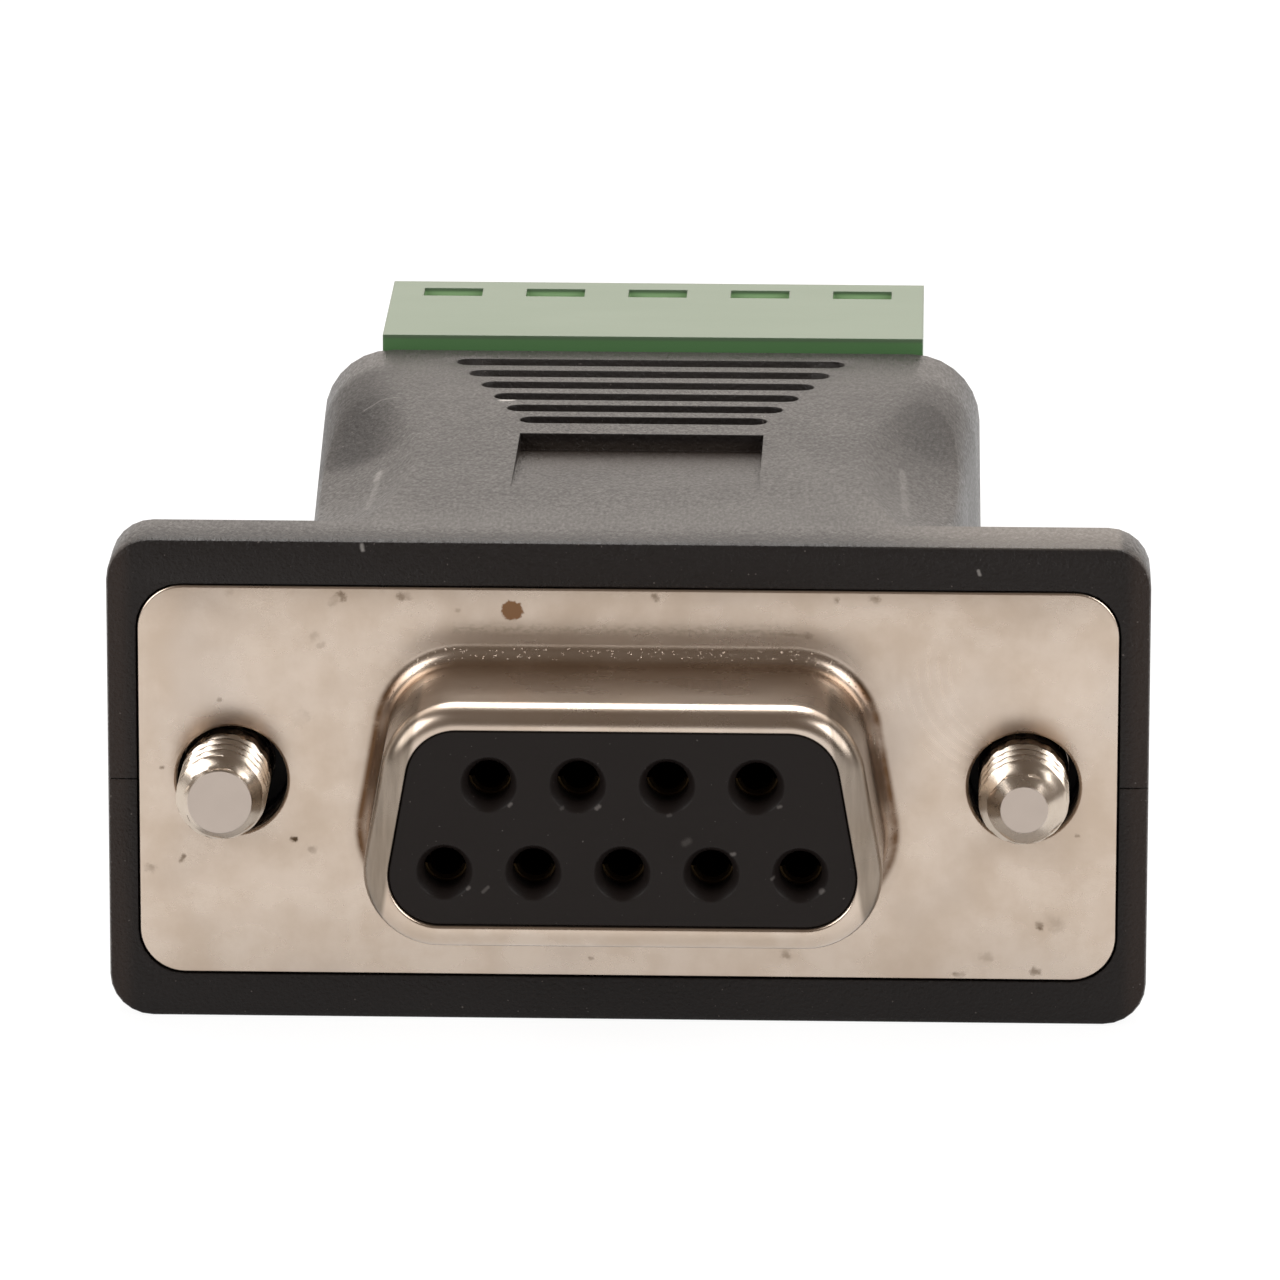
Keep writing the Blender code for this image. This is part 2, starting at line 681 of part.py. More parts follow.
def rear_metal_shell(material):
    """The second plate, with a drawn cup that holds both insulators by their rims."""
    inner = CUP_CLEAR
    outer = CUP_CLEAR + CUP_WALL
    holes = [circle(side * SCREW_SPACING / 2, 0, PLATE_HOLE_RADIUS) for side in (-1, 1)]
    plate = [rounded_rectangle(REAR_PLATE_WIDTH, REAR_PLATE_HEIGHT, PLATE_CORNER)] + holes
    plate.append(d_outline((inner + outer) / 2))
    mesh = flat_mesh("dsub_rear_shell", plate, REAR_PLATE_FRONT, REAR_PLATE_BACK)
    shell = add_object("dsub_rear_shell", mesh, material)
    foot = CUP_FILLET
    end = CUP_END
    sections = [
        (outer, REAR_PLATE_FRONT + SEAT_GAP / 2),
        (outer, end - foot),
        (outer - foot / 3, end - foot / 3),
        (outer - foot, end),
        (-INSULATOR_CLEAR, end),
        (-INSULATOR_CLEAR, REAR_RIM_BACK + SEAT_GAP),
        (inner, REAR_RIM_BACK + SEAT_GAP),
        (inner, REAR_PLATE_FRONT + SEAT_GAP / 2),
    ]
    join(shell, "cup", d_loft("cup", sections, ring=True))
    return shell


def contact_places():
    """Middle of each contact as (x, z): four above, five below."""
    places = []
    for count, z in ((4, ROW_SPACING / 2), (5, -ROW_SPACING / 2)):
        for number in range(count):
            places.append(((number - (count - 1) / 2) * CONTACT_PITCH, z))
    return places


def contact_bores():
    """Stepped bores for the contacts, in a collection of their own."""
    bores = bpy.data.collections.new("contact_bores")
    cutters.children.link(bores)
    cavity = BARREL_RADIUS + SEAT_GAP
    ring = CONTACT_RING_RADIUS + SEAT_GAP
    barrel_front = FACE_Y + LEAD_IN_DEPTH + ENTRY_LENGTH
    ring_front = FRONT_RIM_BACK - CONTACT_RING_LENGTH / 2 - SEAT_GAP / 2
    ring_back = REAR_RIM_FRONT + CONTACT_RING_LENGTH / 2 + SEAT_GAP / 2
    stem = STEM_RADIUS + SEAT_GAP
    beyond = COLLAR_WALL
    slope = (LEAD_IN_RADIUS - ENTRY_RADIUS) / LEAD_IN_DEPTH
    profile = [
        (0, INSULATOR_END + beyond),
        (stem, INSULATOR_END + beyond),
        (stem, ring_back),
        (ring, ring_back),
        (ring, ring_front),
        (cavity, ring_front),
        (cavity, barrel_front),
        (ENTRY_RADIUS, barrel_front),
        (ENTRY_RADIUS, FACE_Y + LEAD_IN_DEPTH),
        (LEAD_IN_RADIUS + slope * beyond, FACE_Y - beyond),
        (0, FACE_Y - beyond),
    ]
    mesh = turned_mesh("contact_bore", profile, BORE_FACETS)
    for number, (x, z) in enumerate(contact_places()):
        bore = add_object(f"contact_bore_{number + 1}", mesh, helper=True)
        bore.location = (x, 0, z)
        cutters.objects.unlink(bore)
        bores.objects.link(bore)
    return bores


def insulators(material, bores):
    """The front insulator, which carries the nine entries, and the rear one behind it."""
    body = -COLLAR_WALL - INSULATOR_CLEAR
    nose = -COLLAR_LIP - INSULATOR_CLEAR
    nose_back = COLLAR_WALL + INSULATOR_CLEAR - COLLAR_REACH
    sections = [
        (nose, FACE_Y),
        (nose, nose_back),
        (body, nose_back + body - nose),
        (body, REAR_PLATE_FRONT),
        (INSULATOR_RIM, REAR_PLATE_FRONT),
        (INSULATOR_RIM, FRONT_RIM_BACK),
    ]
    front = add_object("front_insulator", d_loft("front_insulator", sections), material)
    combine(front, bores)
    tail = -INSULATOR_CLEAR - REAR_TAIL_INSET
    sections = [
        (INSULATOR_RIM, REAR_RIM_FRONT),
        (INSULATOR_RIM, REAR_RIM_BACK),
        (tail, REAR_RIM_BACK),
        (tail, INSULATOR_END),
    ]
    rear = add_object("rear_insulator", d_loft("rear_insulator", sections), material)
    combine(rear, bores)
    return front, rear


def socket_contacts(material):
    """Nine turned contacts, each with a socket in front, a ring to hold it and a solder cup behind."""
    front = FACE_Y + LEAD_IN_DEPTH + ENTRY_LENGTH + SEAT_GAP
    ring_front = FRONT_RIM_BACK + SEAT_GAP / 2 - CONTACT_RING_LENGTH / 2
    ring_back = ring_front + CONTACT_RING_LENGTH
    cup_start = INSULATOR_END + SEAT_GAP
    end = INSULATOR_END + CUP_LENGTH
    profile = [
        (0, end - CUP_BORE_DEPTH),
        (CUP_BORE, end - CUP_BORE_DEPTH),
        (CUP_BORE, end),
        (CUP_RADIUS, end),
        (CUP_RADIUS, cup_start),
        (STEM_RADIUS, cup_start),
        (STEM_RADIUS, ring_back),
        (CONTACT_RING_RADIUS, ring_back),
        (CONTACT_RING_RADIUS, ring_front),
        (BARREL_RADIUS, ring_front),
        (BARREL_RADIUS, front),
        (BARREL_BORE, front),
        (BARREL_BORE, front + BARREL_BORE_DEPTH),
        (0, front + BARREL_BORE_DEPTH),
    ]
    mesh = turned_mesh("socket_contact", profile, CONTACT_FACETS)
    mesh.materials.append(material)
    wide = 2 * CUP_RADIUS
    for number, (x, z) in enumerate(contact_places()):
        contact = add_object(f"socket_contact_{number + 1}", mesh)
        contact.location = (x, 0, z)
        mouth = box_mesh("mouth", (-wide, end - CUP_BORE_DEPTH, 0), (wide, end + wide, wide))
        opening = add_object(f"cup_mouth_{number + 1}", mirrored(mouth, z), helper=True)
        opening.location = (x, 0, z)
        combine(contact, opening)


def circuit_board(material):
    """The board between the two rows of solder cups, with holes for the pegs and the header's tails."""
    length = BOARD_END - BOARD_FRONT
    middle = (BOARD_END + BOARD_FRONT) / 2
    outline = [(x, y + middle) for x, y in rounded_rectangle(BOARD_WIDTH, length, BOARD_CORNER, FOLD_STEPS)]
    holes = [circle(x, y, PEG_RADIUS + SEAT_GAP, SMALL_FACETS) for x, y in post_places()]
    holes += [circle(x, tail_y(), PIN_HOLE_RADIUS, BORE_FACETS) for x in pole_places()]
    mesh = flat_mesh("circuit_board", [outline] + holes, -BOARD_THICK / 2, BOARD_TOP, upright=False)
    return add_object("circuit_board", mesh, material)


def pole_places():
    """Sideways place of each pole."""
    return [(number - (POLES - 1) / 2) * POLE_PITCH for number in range(POLES)]


def tail_y():
    """Where the header's tails go down through the board."""
    return HEADER_FRONT - HEADER_FOOT_DEPTH - PIN_OUT


def header_housing(material):
    """The green shroud: an open box with a foot, and a window and a pin hole for each pole."""
    half = HEADER_WIDTH / 2
    top = HEADER_BOTTOM + HEADER_HEIGHT
    shroud = box_mesh("header_housing", (-half, HEADER_FRONT, HEADER_BOTTOM), (half, HEADER_END, top))
    housing = add_object("header_housing", shroud, material)
    foot_half = HEADER_FOOT_WIDTH / 2
    foot_front = HEADER_FRONT - HEADER_FOOT_DEPTH
    foot_top = HEADER_BOTTOM + HEADER_FOOT_HEIGHT
    foot = box_mesh(
        "header_foot",
        (-foot_half, foot_front, HEADER_BOTTOM + SEAT_GAP),
        (foot_half, HEADER_FRONT + SEAT_GAP, foot_top),
    )
    join(housing, "header_foot", foot)
    room_half = half - HEADER_SIDE_WALL
    floor = HEADER_BOTTOM + HEADER_FLOOR
    back = HEADER_FRONT + HEADER_BACK_WALL
    beyond = HEADER_END + HEADER_BACK_WALL
    room = box_mesh("room", (-room_half, back, floor), (room_half, beyond, top - HEADER_TOP_WALL))
    cut(housing, "header_room", room)
    rib_end = HEADER_END - PIN_SETBACK
    for number in range(POLES - 1):
        x = (number + 1 - POLES / 2) * POLE_PITCH
        low = (x - HEADER_RIB_WIDTH / 2, back - SEAT_GAP, floor - SEAT_GAP)
        high = (x + HEADER_RIB_WIDTH / 2, rib_end, floor + HEADER_RIB_HEIGHT)
        join(housing, f"header_rib_{number + 1}", box_mesh("rib", low, high))
    window_y = HEADER_END - WINDOW_FROM_EDGE
    hole = PIN_THICK / 2 + SEAT_GAP
    pin_z = HEADER_BOTTOM + PIN_HEIGHT
    for number, x in enumerate(pole_places()):
        low = (x - WINDOW_WIDTH / 2, window_y - WINDOW_DEPTH / 2, top - 2 * HEADER_TOP_WALL)
        high = (x + WINDOW_WIDTH / 2, window_y + WINDOW_DEPTH / 2, top + HEADER_TOP_WALL)
        cut(housing, f"window_{number + 1}", box_mesh("window", low, high))
        low = (x - hole, foot_front - HEADER_BACK_WALL, pin_z - hole)
        high = (x + hole, back + SEAT_GAP, pin_z + hole)
        cut(housing, f"pin_hole_{number + 1}", box_mesh("pin_hole", low, high))
    return housing


def header_pins(material):
    """Five square pins that bend down through the board."""
    half = PIN_THICK / 2
    z = HEADER_BOTTOM + PIN_HEIGHT
    y = tail_y()
    tip = HEADER_END - PIN_SETBACK
    low = -BOARD_THICK / 2 - PIN_TAIL
    outline = [
        (y - half, low + PIN_POINT),
        (y - half + PIN_POINT / 2, low),
        (y + half - PIN_POINT / 2, low),
        (y + half, low + PIN_POINT),
        (y + half, z - half),
        (tip - PIN_POINT, z - half),
        (tip, z - half + PIN_POINT / 2),
        (tip, z + half - PIN_POINT / 2),
        (tip - PIN_POINT, z + half),
    ]
    outline += arc((y + half, z - half), PIN_THICK, 90, 180, FOLD_STEPS)
    mesh = side_mesh("header_pin", outline, half)
    mesh.materials.append(material)
    for number, x in enumerate(pole_places()):
        pin = add_object(f"header_pin_{number + 1}", mesh)
        pin.location = (x, 0, 0)


def jackscrew(name, x, material):
    """A turned thumbscrew. Its origin lies on its own axis, and its fluted knob sits in the side pocket."""
    front = -SCREW_STANDOUT
    knob_front = KNOB_BACK - KNOB_LENGTH
    edge = KNOB_CHAMFER
    profile = [
        (0, KNOB_BACK),
        (KNOB_RADIUS - edge, KNOB_BACK),
        (KNOB_RADIUS, KNOB_BACK - edge),
        (KNOB_RADIUS, knob_front + edge),
        (KNOB_RADIUS - edge, knob_front),
        (SCREW_RADIUS, knob_front),
        (SCREW_RADIUS, front + SCREW_TIP_CHAMFER),
        (SCREW_TIP_RADIUS, front),
        (0, front),
    ]
    screw = add_object(name, turned_mesh(name, profile, ROUND_FACETS), material)
    screw.location = (x, 0, 0)
    flutes = bpy.data.collections.new(name + "_flutes")
    cutters.children.link(flutes)
    for number in range(KNOB_FLUTES):
        angle = math.tau * number / KNOB_FLUTES
        flute_name = f"{name}_flute_{number + 1}"
        centre_x = KNOB_RADIUS * math.cos(angle)
        centre_z = KNOB_RADIUS * math.sin(angle)
        start = knob_front - edge
        end = KNOB_BACK + edge
        rod = rod_mesh(flute_name, KNOB_FLUTE_RADIUS, start, end, FLUTE_FACETS, centre_x, centre_z)
        flute = add_object(flute_name, rod, helper=True)
        flute.location = (x, 0, 0)
        cutters.objects.unlink(flute)
        flutes.objects.link(flute)
    combine(screw, flutes)
    slot = box_mesh(
        "slot",
        (-KNOB_RADIUS * 2, KNOB_BACK - KNOB_SLOT_DEPTH, -KNOB_SLOT_WIDTH / 2),
        (KNOB_RADIUS * 2, KNOB_BACK + KNOB_SLOT_DEPTH, KNOB_SLOT_WIDTH / 2),
    )
    slot_cutter = add_object(name + "_slot", slot, helper=True)
    slot_cutter.location = (x, 0, 0)
    combine(screw, slot_cutter)
    return screw


def build():
    """Builds every piece of the adapter."""
    for name, side in (("top_shell", 1), ("bottom_shell", -1)):
        half_shell(name, side, plain_material(name + "_plastic", (0.022, 0.020, 0.019), 0.55))
    front_metal_shell(plain_material("front_shell_nickel", (0.72, 0.67, 0.61), 0.28, 1.0))
    rear_metal_shell(plain_material("rear_shell_nickel", (0.70, 0.66, 0.61), 0.32, 1.0))
    insulators(plain_material("insulator_plastic", (0.016, 0.015, 0.014), 0.5), contact_bores())
    socket_contacts(plain_material("contact_gold", (0.83, 0.66, 0.35), 0.3, 1.0))
    circuit_board(plain_material("board_laminate", (0.05, 0.16, 0.08), 0.45))
    header_housing(plain_material("header_green", (0.16, 0.34, 0.13), 0.45))
    header_pins(plain_material("pin_tin", (0.75, 0.75, 0.73), 0.3, 1.0))
    left_x = -SCREW_SPACING / 2 - LEFT_SCREW_PLAY
    for name, x in (("left_jackscrew", left_x), ("right_jackscrew", SCREW_SPACING / 2)):
        jackscrew(name, x, plain_material(name + "_nickel", (0.74, 0.71, 0.66), 0.22, 1.0))


build()
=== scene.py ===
"""Adapter from a D-shaped socket to a pluggable terminal header, dressed around its fixed frame."""

import math

import bmesh
import bpy
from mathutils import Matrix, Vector


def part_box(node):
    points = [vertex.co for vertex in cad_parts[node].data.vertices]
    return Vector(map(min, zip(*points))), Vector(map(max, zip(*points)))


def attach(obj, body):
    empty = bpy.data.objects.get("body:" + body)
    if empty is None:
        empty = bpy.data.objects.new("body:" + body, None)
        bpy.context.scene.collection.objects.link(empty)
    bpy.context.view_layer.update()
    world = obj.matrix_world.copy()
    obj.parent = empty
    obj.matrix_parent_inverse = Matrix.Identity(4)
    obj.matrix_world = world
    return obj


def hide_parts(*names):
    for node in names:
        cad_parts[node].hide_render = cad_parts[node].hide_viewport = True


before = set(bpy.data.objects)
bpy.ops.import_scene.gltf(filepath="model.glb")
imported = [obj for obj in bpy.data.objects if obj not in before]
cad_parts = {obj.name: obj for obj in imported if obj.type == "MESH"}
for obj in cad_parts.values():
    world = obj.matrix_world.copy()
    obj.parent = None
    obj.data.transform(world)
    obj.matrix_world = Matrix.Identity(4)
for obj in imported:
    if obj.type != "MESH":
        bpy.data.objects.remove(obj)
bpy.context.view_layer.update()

# The front metal shell: one sheet of steel, blanked, deep drawn into a D-shaped collar with a rolled rim,
# and plated with nickel. Four tabs fold over the rear shell and hold the two together.
# The plate has stains and specks where the plating has worn or was splashed. The collar has painted shade in
# the crease at its foot and a painted reflection on its flanks.
MM = 0.001
plate_low, plate_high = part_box("dsub_front_shell")
AXIS_Z = (plate_low.z + plate_high.z) / 2
PLATE_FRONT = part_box("top_shell")[0].y
origin = (0, PLATE_FRONT, AXIS_Z)
PLATE_GROWTH = 0.12 * MM
PLATE_WIDTH = plate_high.x - plate_low.x + PLATE_GROWTH
PLATE_HEIGHT = plate_high.z - plate_low.z + PLATE_GROWTH
PLATE_THICK = 0.5 * MM
PLATE_CORNER = 1.45 * MM
PLATE_EDGE = 0.1 * MM
SCREW_SPACING = 24.99 * MM
HOLE_RADIUS = 1.75 * MM
COLLAR_WIDTH = 16.2 * MM
COLLAR_HEIGHT = 7.9 * MM
COLLAR_CORNER = 2.4 * MM
COLLAR_SLOPE = math.radians(10)
COLLAR_REACH = PLATE_FRONT - plate_low.y
COLLAR_WALL = 0.4 * MM
COLLAR_LIP = 0.8 * MM
COLLAR_FOOT = 0.6 * MM
COLLAR_RIM = 0.7 * MM
APRON = 0.25 * MM
FOOT_SHARES = (0.1, 0.3, 0.7, 1.0, 1.0, 0.9, 0.8, 0.7, 0.6, 0.5, 0.4, 0.3, 0.2, 0.1)
TAB_WIDTH = 3.0 * MM
TAB_SPACING = 14.5 * MM
TAB_FOLD = 1.3 * MM
TAB_FRONT = 1.2 * MM
ARC_STEPS = 14
EDGE_STEPS = 4
ROUND_STEPS = 64
WELD = 0.001 * MM
SHARP = math.radians(32)
# Each mark: (start, end, radius, strength), in millimetres from the middle of the plate.
PLATE_MARKS = (
    ((-9.02, 6.06), (-8.98, 5.98), 0.12, 0.75),
    ((-9.34, 5.76), (-9.14, 5.98), 0.10, 0.3),
    ((-7.14, 6.06), (-6.90, 6.04), 0.12, 0.6),
    ((-12.56, 6.14), (-12.54, 6.12), 0.10, 0.5),
    ((-9.72, 4.41), (-9.62, 4.46), 0.09, 0.35),
    ((-9.90, 4.70), (-9.84, 4.76), 0.12, 0.2),
    ((-5.36, 5.60), (-5.32, 5.60), 0.06, 0.5),
    ((4.5, 4.93), (5.6, 4.88), 0.06, 0.5),
    ((5.66, 4.87), (5.7, 4.85), 0.12, 0.7),
    ((0.84, 6.12), (0.88, 6.06), 0.10, 0.6),
    ((6.52, 6.04), (6.56, 6.04), 0.08, 0.7),
    ((7.68, 6.10), (7.80, 6.06), 0.11, 0.85),
    ((-12.9, 2.62), (-12.86, 2.62), 0.06, 0.7),
    ((-14.72, 0.38), (-14.68, 0.38), 0.05, 0.6),
    ((-10.34, 2.04), (-10.20, 2.12), 0.20, 0.2),
    ((-10.60, -1.92), (-10.50, -1.95), 0.065, 1.0),
    ((-10.0, -2.24), (-9.92, -2.28), 0.10, 0.4),
    ((-14.05, -2.52), (-14.12, -2.66), 0.07, 0.9),
    ((-15.12, -2.93), (-15.04, -2.93), 0.12, 0.4),
    ((14.18, -1.57), (14.24, -1.57), 0.05, 0.6),
    ((13.03, -4.5), (13.06, -4.6), 0.10, 0.8),
    ((13.35, -4.3), (13.58, -4.5), 0.22, 0.2),
    ((12.88, -6.06), (12.98, -6.08), 0.11, 0.7),
    ((10.36, -6.18), (10.64, -6.18), 0.07, 0.8),
    ((11.3, -5.6), (11.45, -5.58), 0.14, 0.2),
    ((4.95, -5.3), (5.05, -5.6), 0.13, 0.4),
    ((-1.18, -5.76), (-1.1, -5.76), 0.05, 0.6),
)
RUST_SPOT = (((-3.66, 5.62), (-3.60, 5.60), 0.31, 1.0),)
BAND_ABOVE_COLLAR = (((-5.4, 5.0), (5.0, 5.02), 0.24, 1.0),)
RIPPLES_MIDDLE = (12.4, 3.9)
RIPPLES_PLACE = (((9.6, 3.2), (10.2, 1.4), 1.1, 1.0),)
RIPPLE_PITCH = 0.34
BLOT_FADE = (0.2, 1.7)
CLOUD_SIZE = 2.6 * MM
CLOUD_RANGE = (0.34, 0.68)
BLOOM_SIZE = 5 * MM
BLOOM_RANGE = (0.5, 0.75)
NICKEL_GRAIN = 0.1 * MM
SMEAR_SIZE = 1.2 * MM
SMEAR_RANGE = (0.15, 0.55)
STAIN_FRAY = 0.16 * MM
STAIN_PATCHES = 0.5 * MM
STAIN_RANGE = (0.36, 0.62)
RUST_RANGE = (0.35, 0.6)
STREAK_SIZE = 0.25 * MM
FLECK_SIZE = 0.11 * MM
FLECK_RANGE = (0.42, 0.6)
SPARKLE_SIZE = 0.09 * MM
SPARKLE_RANGE = (0.65, 0.77)
SPARKLE_FOOT = (0.45, 0.8)
STAIN_AND_SHADE_FROM = (6.6 * MM, 7.4 * MM)
FLANK_REFLECTION_FROM = (6.9 * MM, 7.1 * MM)
FLANK_REFLECTION_END = (-0.8 * MM, -0.6 * MM)
NICKEL_LIGHT = (0.635, 0.535, 0.45, 1)
NICKEL_DARK = (0.55, 0.445, 0.355, 1)
NICKEL_BLOOM = (0.58, 0.51, 0.455, 1)
FOOT_STAIN_AND_SHADE = (0.12, 0.066, 0.035, 1)
FLANK_PAINTED_REFLECTION = (0.16, 0.13, 0.10, 1)
BAND_ABOVE_COLLAR_TONE = (0.27, 0.22, 0.14, 1)
BAND_ABOVE_COLLAR_STRENGTH = 0.36
STAIN_TONE = (0.13, 0.08, 0.04, 1)
RUST_TONE = (0.20, 0.095, 0.035, 1)
NICKEL_RELIEF = 0.0013 * MM
BEVEL_SAMPLES = 6


class Wire:
    """A socket of a node tree. Sums on wires add Math nodes."""

    def __init__(self, tree, socket=None):
        self.tree = tree
        self.socket = socket

    def node(self, kind, inputs=None, output=0, **settings):
        """Adds a node: its settings first, then the values and links of its sockets."""
        made = self.tree.nodes.new(kind)
        for name, value in settings.items():
            setattr(made, name, value)
        for name, value in (inputs or {}).items():
            if isinstance(value, Wire):
                self.tree.links.new(value.socket, made.inputs[name])
            else:
                made.inputs[name].default_value = value
        return Wire(self.tree, made.outputs[output])

    def sum(self, operation, *values, clamp=False):
        return self.node("ShaderNodeMath", dict(enumerate(values)), operation=operation, use_clamp=clamp)

    def __add__(self, other):
        return self.sum("ADD", self, other)

    def __sub__(self, other):
        return self.sum("SUBTRACT", self, other)

    def __rsub__(self, other):
        return self.sum("SUBTRACT", other, self)

    def __mul__(self, other):
        return self.sum("MULTIPLY", self, other)

    def __truediv__(self, other):
        return self.sum("DIVIDE", self, other)

    __radd__ = __add__
    __rmul__ = __mul__

    def between(self, low, high):
        """0 below low, 1 above high, and smooth between them."""
        ends = {"Value": self, "From Min": low, "From Max": high}
        return self.node("ShaderNodeMapRange", ends, interpolation_type="SMOOTHSTEP")

    def __abs__(self):
        return self.sum("ABSOLUTE", self)

    def at_least(self, floor):
        """Squeezes 0 to 1 into floor to 1."""
        return self * (1 - floor) + floor

    def most(self, other):
        return self.sum("MAXIMUM", self, other)

    def axis(self, number):
        """X, Y or Z of a vector, by its number."""
        return self.node("ShaderNodeSeparateXYZ", {0: self}, output=number)

    def vector(self, operation, *values, output=0):
        return self.node("ShaderNodeVectorMath", dict(enumerate(values)), output, operation=operation)


def material_with(name, base, roughness, metallic=0.0):
    """A material, its Principled shader, and a wire on places measured from the middle of the plate."""
    material = bpy.data.materials.new(name)
    material.use_nodes = True
    shader = material.node_tree.nodes["Principled BSDF"]
    shader.inputs["Base Color"].default_value = (*base, 1)
    shader.inputs["Roughness"].default_value = roughness
    shader.inputs["Metallic"].default_value = metallic
    place = Wire(material.node_tree).node("ShaderNodeTexCoord", output="Object")
    return material, shader, place.vector("SUBTRACT", place, origin)


def drive(shader, **wires):
    """Links wires to the shader's sockets, which are named with underscores."""
    for name, wire in wires.items():
        wire.tree.links.new(wire.socket, shader.inputs[name.replace("_", " ")])


def noise(place, size, detail=3.0, roughness=0.5, stretch=None):
    """Soft noise from 0 to 1, with features about as large as size, in metres."""
    if stretch:
        place = place.vector("MULTIPLY", place, stretch)
    inputs = {"Vector": place, "Scale": 1 / size, "Detail": detail, "Roughness": roughness}
    return place.node("ShaderNodeTexNoise", inputs)


def mixed(factor, first, second):
    """A colour between two colours."""
    ends = {"Factor": factor, 6: first, 7: second}
    return factor.node("ShaderNodeMix", ends, output=2, data_type="RGBA")


def layered(tone, *layers):
    """A tone under layers of (mask, tone), each laid over those before it."""
    for mask, above in layers:
        tone = mixed(mask, tone, above)
    return tone


def rounded_edges(wire, radius, samples=BEVEL_SAMPLES):
    """A normal that rounds the edges of a piece by a radius."""
    return wire.node("ShaderNodeBevel", {"Radius": radius}, samples=samples)


def relief(height, depth, edge=None, facing=None):
    """A bumped normal, over edges rounded by a radius or over another normal."""
    inputs = {"Height": height, "Distance": depth, "Strength": 1.0}
    if edge:
        facing = rounded_edges(height, edge)
    if facing:
        inputs["Normal"] = facing
    return height.node("ShaderNodeBump", inputs)


def blots(place, upright, marks, ragged):
    """A mask of smudges and scratches: (start, end, radius, strength) in millimetres on a plane."""
    flat = place.vector("MULTIPLY", place, (1, 0, 1) if upright else (1, 1, 0))
    mask = None
    for start, end, radius, strength in marks:
        points = [Vector((u, 0, v) if upright else (u, v, 0)) * MM for u, v in (start, end)]
        run = points[1] - points[0]
        along = flat.vector("SUBTRACT", flat, points[0])
        share = along.vector("DOT_PRODUCT", along, run / run.length_squared, output=1)
        share = share.sum("ADD", share, 0, clamp=True)
        nearest = share.node("ShaderNodeVectorMath", {0: run, "Scale": share}, operation="SCALE")
        reach = along.vector("DISTANCE", along, nearest, output=1)
        spot = (1 - (reach / (radius * MM) + ragged).between(*BLOT_FADE)) * strength
        mask = mask.most(spot) if mask else spot
    return mask


def arc(centre, radius, start, end, steps):
    """Points of an arc, its angles in degrees."""
    angles = [math.radians(start + (end - start) * step / steps) for step in range(steps + 1)]
    return [(centre[0] + radius * math.cos(a), centre[1] + radius * math.sin(a)) for a in angles]


def rounded_rectangle(width, height, radius):
    """Outline of a rectangle with rounded corners, about its middle."""
    x = width / 2 - radius
    z = height / 2 - radius
    outline = []
    for number, corner in enumerate(((x, z), (-x, z), (-x, -z), (x, -z))):
        outline += arc(corner, radius, 90 * number, 90 * number + 90, ARC_STEPS)
    return outline


def circle(x, z, radius, steps=ROUND_STEPS):
    """Outline of a circle."""
    return arc((x, z), radius, 0, 360, steps)[:-1]


def d_outline(offset):
    """The collar's D-shaped outline, moved outwards by the offset. Its wide side is below."""
    radius = COLLAR_CORNER + offset
    low_z = COLLAR_CORNER - COLLAR_HEIGHT / 2
    low_x = COLLAR_WIDTH / 2 - COLLAR_CORNER
    top_x = low_x + 2 * low_z * math.tan(COLLAR_SLOPE)
    slope = math.degrees(COLLAR_SLOPE)
    outline = arc((low_x, low_z), radius, -90, slope, ARC_STEPS)
    outline += arc((top_x, -low_z), radius, slope, 90, ARC_STEPS)
    outline += arc((-top_x, -low_z), radius, 90, 180 - slope, ARC_STEPS)
    outline += arc((-low_x, low_z), radius, 180 - slope, 270, ARC_STEPS)
    return outline


def rounded_lip():
    """Rows of (inset, y) over the rounded front edge of the plate and its holes."""
    return [(PLATE_EDGE - u, PLATE_EDGE - v) for u, v in arc((0, 0), PLATE_EDGE, 90, 0, EDGE_STEPS)]


def ring(bm, outline, y):
    """A closed row of points at one depth."""
    return [bm.verts.new((x, y, z)) for x, z in outline]


def skin(bm, rings):
    """Faces between rings of the same count."""
    for first, second in zip(rings, rings[1:]):
        for number in range(len(first)):
            after = (number + 1) % len(first)
            bm.faces.new((first[number], first[after], second[after], second[number]))


def fill(bm, rings):
    """A flat face with holes, bounded by rings."""
    edges = []
    for points in rings:
        for first, second in zip(points, points[1:] + points[:1]):
            edges.append(bm.edges.get((first, second)) or bm.edges.new((first, second)))
    bmesh.ops.triangle_fill(bm, use_beauty=True, use_dissolve=False, edges=edges)


def extrude_across(bm, outline, x, half_width):
    """A closed prism along X from an outline in Y and Z."""
    sides = []
    for side_x in (x - half_width, x + half_width):
        sides.append([bm.verts.new((side_x, y, z)) for y, z in outline])
    skin(bm, sides)
    for points in sides:
        bm.faces.new(points)


def finished(name, bm, material, body, slot, *nodes, place=(0, 0, 0), welded=True):
    """Makes a mesh into a piece: welded, shaded, in place, riding on its body and standing for its nodes."""
    if welded:
        bmesh.ops.remove_doubles(bm, verts=bm.verts, dist=WELD)
        bmesh.ops.recalc_face_normals(bm, faces=bm.faces)
    bmesh.ops.translate(bm, vec=place, verts=bm.verts)
    for face in bm.faces:
        face.smooth = True
    for edge in bm.edges:
        edge.smooth = edge.calc_face_angle(math.pi) < SHARP
    mesh = bpy.data.meshes.new(name)
    bm.to_mesh(mesh)
    bm.free()
    mesh.materials.append(material)
    piece = bpy.data.objects.new(name, mesh)
    bpy.context.scene.collection.objects.link(piece)
    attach(piece, body)
    if nodes:
        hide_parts(*nodes)
    return piece


